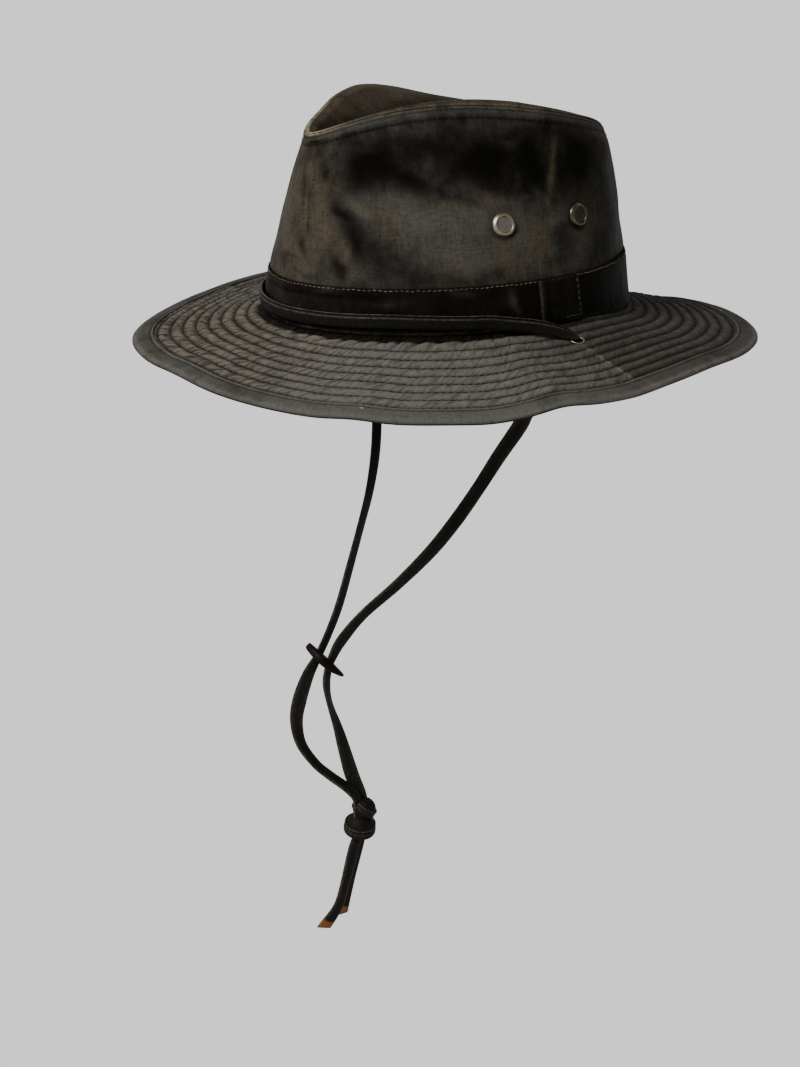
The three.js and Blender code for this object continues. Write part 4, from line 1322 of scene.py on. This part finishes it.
class HatCrownTip(bpy.types.Operator):
    """Dented top panel with the rolled lip over the seam"""

    bl_idname = "hat.crown_tip"
    bl_label = "Crown tip"

    def execute(self, context):
        # inward, rise, and how much of the extra rise beside the side seams each row takes
        lip = np.array(
            (
                (1.5, -0.5, 0.0), (0.9, -0.2, 0.0), (0.35, 0.1, 0.0), (0.12, 0.45, 0.0),
                (0.2, 0.8, 0.08), (0.5, 1.05, 0.2), (1.0, 1.2, 0.42), (1.8, 1.2, 0.68),
                (2.8, 0.95, 0.88), (3.8, 0.65, 0.98), (4.9, 0.4, 1.0), (6.2, 0.2, 0.97),
            )
        )
        dent_rows = 44
        rows = len(lip) - 1 + dent_rows
        crumple = sizes().crown_crumple / MM

        def place(around, up):
            angle, degrees, j = spot_on_grid(around, up, rows)
            on_lip = j < len(lip)
            row = lip[np.minimum(j, len(lip) - 1)]
            extra = sizes().lip_rise / MM * hump(degrees_of(angle), 80, 34)
            rim = tip_point(angle, row[:, 0], row[:, 1] + extra * row[:, 2])
            inward = np.full_like(angle, lip[-1, 0])
            start = tip_point(angle, inward, lip[-1, 1] + extra * lip[-1, 2])
            valley = valley_point(angle)
            share = fraction((j - len(lip) + 1) / dent_rows)
            dent = start + (valley - start) * share[:, None]
            drop = start[:, 2] - valley[:, 2]
            dent[:, 2] = valley[:, 2] + drop * (1 - share) ** DENT["fall"]
            point = np.where(on_lip[:, None], rim, dent)
            calm = fraction(share * 5) * fraction((1 - share) * 4)
            soft = soft_noise(point[:, 0] / 17 + 30, point[:, 1] / 17 + 30, 21)
            soft = soft + 0.5 * soft_noise(point[:, 0] / 8 + 30, point[:, 1] / 8 + 30, 22)
            point[:, 2] += 1.2 * crumple * calm * soft
            # How pale the rows of the lip are rubbed, on the near side and on the far one. Their
            # fold mark also carries painted light by angle.
            near_cream, far_cream = np.zeros((2, rows + 1))
            near_cream[3:6] = 0.7, 0.9, 0.35
            far_cream[3:8] = 0.9, 0.5, 0.3, 0.9, 0.8
            cream = np.where(degrees < -3, far_cream[j], near_cream[j])
            # Painted light towards the top of the dent and where the light falls, painted shade
            # lower down and in its deepest part, and painted shade in the seam groove of the first
            # lip rows
            high = ramp(point[:, 2], 90, 12)
            low = ramp(point[:, 2], 101, -10)
            fading = ramp(j, 7, 6)
            sunlit = high * hump(degrees, -98, 32)
            deep = 0.5 * fading * ramp(point[:, 2], 97, -8)
            marks = {
                "tan": 0.15 + fading * (0.30 + 0.35 * high + 0.40 * sunlit),
                "bloom_and_sheen": 0.5 - 0.5 * fading + (0.6 * high + 0.5 * sunlit) * fading,
                "dark": fading * (0.05 + 0.80 * low),
                "fold": cream * rubbed_and_lit_edge(degrees),
                "painted_shade": np.select((j == 0, j == 1, j == 2), (1.0, 1.0, 0.7), deep),
            }
            return point, marks

        thick = CROWN_CLOTH * MM * 0.55
        tip = cloth_sheet("crown_tip_cloth", COLUMNS["tip"], rows, place, upwards, thick)
        dress(tip, waxed_cotton("tip_cotton"), "crown_cloth", "crown_tip")
        return {"FINISHED"}


class HatBand(bpy.types.Operator):
    """Band round the foot of the crown and its bare side tab"""

    bl_idname = "hat.band"
    bl_label = "Band and tab"

    def execute(self, context):
        rows = 26
        inner, outer = GAP, GAP + BAND["cloth"]
        level = np.concatenate([[BAND["bottom"]], np.linspace(BAND["bottom"], BAND["top"], 21)])
        level = np.concatenate([level, [BAND["top"], BAND["top"], 11.5, BAND["bottom"]]])
        reach = np.full(rows, outer)
        reach[[0, -1, -2]] = inner
        reach[[1, 21]] = outer - 0.25
        reach[-4:-2] = (0.8, inner)

        def place(around, up):
            angle, degrees, j = spot_on_grid(around, up, rows, closed=True)
            height, out = level[j], reach[j].copy()
            outside = (j > 0) & (j < 22)
            pucker = soft_noise(around * 190, height / 4.5, 31, 190)
            wave = soft_noise(around * 34, height / 12, 32, 34)
            out = out + outside * (0.12 * pucker + 0.22 * wave)
            lap = hump(degrees, 2, 34, 4)
            step = hump(height, 17.6, 0.8)
            out = out - outside * 0.5 * lap * step
            out = out - outside * 0.25 * hump(height, 21.2, 0.5)
            point = wall_at_height(angle, height, out)
            point[:, 2] -= seam_drop(angle) * fraction(1 - height / 18)
            rubbed = patches(BAND_RUBBED, degrees, height)
            front = hump(degrees, -2, 20) * (height < 16.5)
            marks = {
                "tan": outside * rubbed,
                "bloom_and_sheen": outside * 0.4 * hump(height, 21.9, 0.6),
                "dark": (0.90 - 0.30 * front) * (1 - 0.9 * rubbed),
                "fold": outside * 0.15 * hump(height, BAND["bottom"], 0.6),
                # painted shade in the fold across the band's front
                "painted_shade": outside * 0.8 * lap * step,
            }
            return point, marks

        band = closed_ring("hat_band_cloth", COLUMNS["band"], rows, place)
        dress(band, waxed_cotton("band_cotton"), "crown_cloth", "hat_band")
        self.tab()
        return {"FINISHED"}

    def tab(self):
        inner = GAP + BAND["cloth"] + 0.35

        def place(across, up):
            angle = np.radians(TAB["angle"] + TAB["half_angle"] * (2 * across - 1))
            height = TAB["bottom"] + (TAB["top"] - TAB["bottom"]) * up
            near_front = hump(across, 0, 0.075)
            near_back = hump(across, 1, 0.05)
            out = inner + 0.9 + 0.55 * hump(across, 0.05, 0.05)
            out = out - 0.6 * hump(across, 0, 0.02) - 0.3 * near_back
            out = out + 0.12 * soft_noise(across * 6, up * 7, 41)
            point = wall_at_height(angle, height, out)
            marks = {
                "tan": 0.55 * near_front + 0.45 * near_back,
                "bloom_and_sheen": 0.15 * near_front,
                "dark": 0.78 + 0 * across,
                "fold": 0.02 * near_front,
                # painted shade beside the raised front fold
                "painted_shade": 0.6 * hump(across, 0.17, 0.03),
            }
            return point, marks

        tab = cloth_sheet("band_tab_cloth", 30, 36, place, from_middle, TAB["cloth"] * MM)
        dress(tab, waxed_cotton("tab_cotton"), "crown_cloth", "band_tab")


class HatBrim(bpy.types.Operator):
    """Quilted brim with puffed rows and puckers"""

    bl_idname = "hat.brim"
    bl_label = "Brim"

    def execute(self, context):
        puff, pucker = sizes().quilt_puff / MM, sizes().pucker / MM
        end = BINDING["start"] - GAP
        top_rows, under_rows = 74, 30
        upper, lower = np.linspace(0, end, top_rows), np.linspace(end, 0, under_rows)
        from_seam = np.concatenate([upper, [end + 1.2, end + 1.2], lower])
        rows = len(from_seam)

        def place(around, up):
            angle, degrees, j = spot_on_grid(around, up, rows, closed=True)
            far = from_seam[j]
            top = j < top_rows
            row = (far + row_drift(around, far) - QUILTING["first_row"]) / QUILTING["pitch"]
            part = row - np.floor(row)
            swell = np.sin(np.pi * part) ** 0.75
            number = np.floor(row)
            slant = 0.35 * np.where(np.sin(number * 2.4) > 0, 1.0, -1.0)
            fine = soft_noise(around * 260 + slant * part * 2, number * 3.7 + part * 0.6, 52, 260)
            wide = soft_noise(around * 110, number * 1.7 + part, 53, 110)
            crimp = soft_noise(around * 520, number * 5.1, 54, 520)
            press = hump(np.minimum(part, 1 - part), 0, 0.125)
            rise = puff * (swell - 0.45) + pucker * swell * (0.75 * fine + 0.5 * wide)
            rise = rise + 0.35 * pucker * press * crimp
            seam = hump(np.abs(degrees), 90, 0.3)
            rise = rise + seam * 0.30
            pleat = np.sin(2 * np.pi * (around * 62 + far / 6.4) + 1.4 * wide)
            first = hump(degrees, 30, 34, 4) * ramp(far, 9.6, -3.2)
            rise = rise + 0.60 * first * pleat * fraction(far / 1.5)
            fallen = first * fraction(-pleat - 0.25)
            close = fraction(far / 2.5) * fraction((end + 1.4 - far) / 1.0)
            under = -BRIM["cloth"] - 0.35 * (swell - 0.4) * close
            rise = np.where(top, rise * close, under)
            rise = np.where(j == top_rows, -0.35, rise)
            rise = np.where(j == top_rows + 1, -1.55, rise)
            point = brim_point(angle, far, rise)
            # Painted light of the brim: ridge tops paler, partly rubbed and partly painted
            # highlight; more highlight and stronger painted shade in the puckers round -25 degrees
            # (left), towards the light; painted light on the near side round 45 degrees
            crest = fraction(1.5 * swell - 0.5)
            left = hump(degrees, -25, 42)
            near = hump(degrees, 45, 32)
            side = hump(degrees, 80, 11) * ramp(far, 32, 10)
            # Painted shade as the brim turns from the light past 60 degrees; the back panel is
            # darker from its own tone and from painted shade; painted shadow of the crown and lace
            # beside the seam, and painted shade in the stitch valleys and pleat grooves
            turned_from_light = 0.42 * ramp(np.abs(degrees), 60, 28) * (np.abs(degrees) < 90)
            back = ramp(np.abs(degrees), 89.8, 0.6)
            shaded = ramp(far, 5.0, -3.4) * (np.abs(degrees) < 100)
            lace_shadow = ramp(far, 4.6, -1.4) * (np.abs(degrees) < 84)
            deep = np.maximum(0.62 * press + 0.6 * fallen, 0.97 * lace_shadow)
            marks = {
                "tan": fraction(crest * (0.7 * left + 0.3 * side + 0.35 * wide + 0.12)),
                "bloom_and_sheen": 0.45 * crest + 0.62 * near - 0.12,
                "dark": np.maximum.reduce((back * (0.87 - 0.27 * crest), turned_from_light, 0.95 * shaded)),
                "fold": 0.10 * seam * top,
                "painted_shade": np.where(top, fraction(deep), 0.5 * press),
                "pucker": np.where(top, 0.42 + 0.46 * left - 0.06 * near, 0.3),
            }
            return point, marks

        brim = closed_ring("brim_cloth", COLUMNS["brim"], rows, place)
        dress(brim, waxed_cotton("brim_cotton"), "brim_cloth", "brim")
        return {"FINISHED"}


class HatBinding(bpy.types.Operator):
    """Cloth binding folded over the edge of the brim"""

    bl_idname = "hat.binding"
    bl_label = "Brim binding"

    def execute(self, context):
        outline = np.array(BINDING_OUTLINE)
        rows = len(outline)

        def place(around, up):
            angle, degrees, j = spot_on_grid(around, up, rows, closed=True)
            far, rise = outline[j, 0], outline[j, 1].copy()
            outer = (j > 6) & (j < 14)
            wave = soft_noise(around * 150, far / 5, 61, 150)
            twist = soft_noise(around * 60, far / 9, 62, 60)
            rise = rise + outer * (0.10 * wave + 0.16 * twist)
            joint = hump(degrees, 91.2, 0.35)
            rise = rise + 0.35 * joint * outer
            point = brim_point(angle, far, rise)
            left = 0.25 + 0.75 * hump(degrees, -15, 30)
            # Painted light on the near side round 45 degrees; painted shade on the outer part away
            # from it, on the far side past 78 degrees, under the edge and in the groove
            near = hump(degrees, 45, 32)
            far_side = ramp(degrees, 78, 14)
            edge = hump(far, 66.0, 1.3) * (rise > -0.6)
            under = ramp(rise, -0.2, -0.45)
            under = under * np.where(rise > -1.2, np.clip((84 - np.abs(degrees)) / 14, 0.15, 1), 1)
            ridge = hump(far, 57.3, 0.5) * (rise > 0.3)
            groove = hump(far, BINDING["groove"], 0.28) * (rise > 0)
            worn = (0.45 * edge + 0.5 * ridge) * np.maximum(left, far_side)
            fleck = np.zeros_like(angle)
            for turn, away in BINDING_FLECKS:
                fleck = fleck + (np.hypot((degrees - turn) * 2.6, far - away) < 0.8)
            marks = {
                "tan": fraction(worn) + 0.3 * joint,
                "bloom_and_sheen": -0.05 + 0.25 * twist + 0.25 * edge + 0.5 * near,
                "dark": (0.25 * outer * (1 - near) + 0.25 * far_side) * (1 - edge) + 0.6 * under,
                "fold": fraction(0.06 * ridge * left + fleck * (rise > 0)),
                "painted_shade": np.maximum(0.75 * groove, 0.85 * under),
            }
            return point, marks

        binding = closed_ring("brim_binding_cloth", COLUMNS["brim"], rows, place)
        dress(binding, waxed_cotton("binding_cotton"), "binding_cloth", "brim_binding")
        return {"FINISHED"}


class HatVents(bpy.types.Operator):
    """Four brass vents with woven wire screens"""

    bl_idname = "hat.vents"
    bl_label = "Screened vents"

    def execute(self, context):
        tones = colours()
        metals = {
            "front": (aged_brass(), metal_material("screen_wire", tones.screen, 0.35)),
            # The back vents get darker copies of the brass and wire: painted shade, as they turn
            # from the light
            "back": (
                metal_material("shaded_brass", darker(tones.brass, 0.3), 0.20),
                metal_material("shaded_wire", darker(tones.screen, 0.3), 0.35),
            ),
        }
        for side, side_name in ((1, "left"), (-1, "right")):
            for forward, end in ((VENT["forward"], "front"), (-VENT["forward"], "back")):
                point, normal = vent_place(side, forward)
                name = f"{side_name}_{end}"
                ring = placed(spun(VENT_PROFILE, 48), Vector(point) * MM, normal)
                ring = finish_mesh(f"vent_ring_{name}_brass", ring)
                dress(ring, metals[end][0], "brass", f"vent_ring_{name}")
                screen = self.screen(f"vent_screen_{name}_wire", point, normal)
                dress(screen, metals[end][1], "screen", f"vent_screen_{name}")
        return {"FINISHED"}

    def screen(self, name, point, normal):
        """Woven wires that fill the ring, with a disc behind them that stands in for the shade
        inside the vent.
        """
        reach, pitch, thick = SCREEN["reach"], SCREEN["pitch"], SCREEN["wire"]
        count = int(reach / pitch)
        parts = []
        for turn in (0, 1):
            for k in range(-count, count + 1):
                aside = k * pitch
                half = math.sqrt(max(reach**2 - aside**2, 0.2))
                run = np.linspace(-half, half, 25)
                sign = 1 if (k + turn) % 2 else -1
                wave = SCREEN["wave"] * sign * np.cos(np.pi * run / pitch)
                side = np.full_like(run, aside)
                deep = wave + SCREEN["height"]
                line = stack(run, side, deep) if turn == 0 else stack(side, run, deep)
                up = np.tile((0.0, 0.0, 1.0), (len(run), 1))
                widths = np.full(len(run), thick)
                made = swept(f"wire_{turn}_{k}", line, up, widths, widths, round_section(6))
                parts.append(made)
        piece = joined(parts, name)
        bm = bmesh.new()
        bm.from_mesh(piece.data)
        radius, depth = SCREEN_BACK["radius"], SCREEN_BACK["depth"]
        disc = bmesh.ops.create_cone(
            bm, cap_ends=True, segments=32, radius1=radius, radius2=radius, depth=depth
        )["verts"]
        bmesh.ops.translate(bm, vec=(0, 0, SCREEN_BACK["height"]), verts=disc)
        placed(bm, Vector(point) * MM, normal)
        bm.to_mesh(piece.data)
        bm.free()
        return piece


def round_section(count):
    turn = 2 * np.pi * np.arange(count) / count
    return np.cos(turn), np.sin(turn)


class HatEyelets(bpy.types.Operator):
    """Brass eyelets of the chin lace in the brim"""

    bl_idname = "hat.eyelets"
    bl_label = "Lace eyelets"

    def execute(self, context):
        for side, name in ((1, "left"), (-1, "right")):
            point, normal = hole_place(side)
            ring = placed(spun(EYELET_PROFILE, 40), Vector(point) * MM, normal)
            ring = finish_mesh(f"lace_eyelet_{name}_brass", ring)
            dress(ring, aged_brass(), "brass", f"lace_eyelet_{name}")
        return {"FINISHED"}


def lace_half(side):
    """Centre line, width direction and width of the lace from the front to one hole."""
    rows = []
    table = np.array(LACE_FRONT)
    for degrees in np.linspace(0, LACE_FRONT[-1][0], 13):
        angle = np.array(math.radians(degrees))
        height = np.interp(degrees, table[:, 0], table[:, 1])
        centre = wall_at_height(angle, height, LACE_OUT) * (side, 1, 1)
        rows.append((*centre, 0, 0, 1, LACE_WIDTH))
    for degrees, out, above, tilt, width in LACE_EXIT:
        angle = np.array(math.radians(degrees))
        centre = brim_point(side * angle, out, above)
        outward = wall_normal(angle, np.array(0.0)) * (side, 1, 0)
        outward = unit(outward)
        wide = outward * math.sin(math.radians(tilt)) + (0, 0, math.cos(math.radians(tilt)))
        rows.append((*centre, *wide, width))
    point, normal = hole_place(side)
    for rise, width in zip(LACE_IN_HOLE, (5.0, 4.4, 4.4)):
        rows.append((*(point + normal * rise), -side, 0, 0.35, width))
    return rows


class HatCrownLace(bpy.types.Operator):
    """Flat lace round the front of the crown, down into its two holes"""

    bl_idname = "hat.crown_lace"
    bl_label = "Crown lace"

    def execute(self, context):
        table = lace_half(-1)[:0:-1] + lace_half(1)
        line = smooth_route(table, 9)
        centre, wide, width = line[:, :3], line[:, 3:6], line[:, 6]
        a, b = flat_section(64)
        groove = 0.60 * hump(a, 0.72, 0.12)
        b = np.sign(b) * (np.abs(b) - groove * (np.abs(b) > 0.3))
        # Pale lines on the top edge and beside the groove, faintly on the lower edge: rubbed
        # edges, partly painted highlight
        lines = 1.0 * (a > 0.95) + 0.9 * hump(a, 0.50, 0.07) + 0.25 * (a < -0.95)
        thick = np.full(len(centre), sizes().lace_thickness / MM)
        marks = {"cut": np.zeros(len(centre))}
        lace = swept("crown_lace_strip", centre, wide, width, thick, (a, b), marks, lines)
        dress(lace, lace_leather(), "lace_leather", "crown_lace")
        return {"FINISHED"}


class HatStitches(bpy.types.Operator):
    """Sewing thread of the crown, band, tab, brim and binding"""

    bl_idname = "hat.stitches"
    bl_label = "Stitches"

    def execute(self, context):
        tones = colours()
        dark = shared_material("dark_thread", thread_material, tones.thread_dark, 0.2)
        tan = shared_material("tan_thread", thread_material, tones.thread_tan, 0.75)
        thick = sizes().thread
        length = sizes().stitch_length / MM
        quilting = []
        for number in range(QUILTING["rows"]):
            far = QUILTING["first_row"] + number * QUILTING["pitch"]
            row = self.brim_row(far, -0.12)
            quilting.append(self.round_hat(row, length, STITCH_GAP["brim"]))
        edge = self.brim_row(BINDING["groove"], 0.55)
        edge = self.round_hat(edge, length, STITCH_GAP["binding"])
        top = self.round_hat(self.crown_row(SEAM_ROW_BELOW_RIM, 0.1), *STITCHES["crown_top"])
        ladder = self.round_hat(self.groove_row, *STITCHES["groove"])
        band = self.round_hat(self.band_row(21.4, 1.35), *STITCHES["band"])
        tab_back = math.radians(TAB["angle"] + TAB["half_angle"] * 0.86)
        down = stitch_line(self.tab_column(tab_back), 0.08, 0.95, *STITCHES["tab_back"])
        foot = stitch_line(self.tab_foot, 0.55, 0.97, *STITCHES["tab_foot"])
        tab_rows = [self.uneven(down, 72), self.uneven(foot, 73)]
        for name, rows, width, thread, slot in (
            ("brim_stitches", quilting, thick, dark, "brim_cloth"),
            ("binding_stitches", [edge], thick, dark, "binding_cloth"),
            ("crown_stitches", [top, ladder], thick, dark, "crown_cloth"),
            ("band_stitches", [self.uneven(band, 71)], thick * BAND_THREAD, tan, "crown_cloth"),
            ("tab_stitches", tab_rows, thick, tan, "crown_cloth"),
        ):
            dress(laid_stitches(name, rows, width), thread, slot)
        return {"FINISHED"}

    def round_hat(self, place, length, gap):
        return stitch_line(place, -np.pi, np.pi, length, gap)

    def uneven(self, row, seed):
        centres, along, up, length = row
        rng = np.random.default_rng(seed)
        side = np.cross(up, along)
        shift = rng.normal(0, 0.13, (len(centres), 1))
        lean = rng.normal(0, 0.10, (len(centres), 1))
        return centres + side * shift, unit(along + side * lean), up, length

    def brim_row(self, far, rise):
        def place(angle):
            around = angle / (2 * np.pi) + 0.5
            drift = row_drift(around, np.full_like(angle, far))
            return brim_point(angle, far - drift, rise), brim_normal(angle, far)

        return place

    def crown_row(self, below, out):
        return lambda angle: spot_on_wall(angle, 1 - share_at(angle, below), out)

    def groove_row(self, angle):
        point = tip_point(angle, np.full_like(angle, 0.35), 0.05)
        return point, unit(wall_normal(angle, np.ones_like(angle)) + (0, 0, 0.8))

    def band_row(self, height, out):
        return lambda angle: spot_on_wall(angle, share_at(angle, height), out)

    def tab_column(self, turn):
        def place(t):
            angle = np.full_like(t, turn)
            height = TAB["bottom"] + (TAB["top"] - TAB["bottom"]) * t
            return spot_on_wall(angle, share_at(angle, height), 2.55)

        return place

    def tab_foot(self, t):
        angle = np.radians(TAB["angle"] + TAB["half_angle"] * (2 * t - 1))
        return spot_on_wall(angle, share_at(angle, TAB["bottom"] + 1.2), 2.6)


class HatPanel(bpy.types.Panel):
    """Steps that build the hat, and its sizes and colours"""

    bl_idname = "VIEW3D_PT_hat"
    bl_label = "Outdoor hat"
    bl_space_type = "VIEW_3D"
    bl_region_type = "UI"
    bl_category = "Hat"

    def draw(self, context):
        for step in STEPS:
            self.layout.operator(step.bl_idname)
        for group in (context.scene.hat_sizes, context.scene.hat_colours):
            for name in group.bl_rna.properties.keys():
                if name not in ("rna_type", "name"):
                    self.layout.prop(group, name)


STEPS = (
    HatStage,
    HatChinLace,
    HatCrownSide,
    HatCrownTip,
    HatBand,
    HatBrim,
    HatBinding,
    HatVents,
    HatEyelets,
    HatCrownLace,
    HatStitches,
)
CLASSES = (HatSizes, HatColours, *STEPS, HatPanel)


def register():
    for made in CLASSES:
        bpy.utils.register_class(made)
    bpy.types.Scene.hat_sizes = bpy.props.PointerProperty(type=HatSizes)
    bpy.types.Scene.hat_colours = bpy.props.PointerProperty(type=HatColours)


def unregister():
    del bpy.types.Scene.hat_colours
    del bpy.types.Scene.hat_sizes
    for made in reversed(CLASSES):
        bpy.utils.unregister_class(made)


def main():
    register()
    bpy.ops.hat.stage()
    bpy.ops.hat.chin_lace()
    bpy.ops.hat.crown_side()
    bpy.ops.hat.crown_tip()
    bpy.ops.hat.band()
    bpy.ops.hat.brim()
    bpy.ops.hat.binding()
    bpy.ops.hat.vents()
    bpy.ops.hat.eyelets()
    bpy.ops.hat.crown_lace()
    bpy.ops.hat.stitches()


if __name__ == "__main__":
    main()
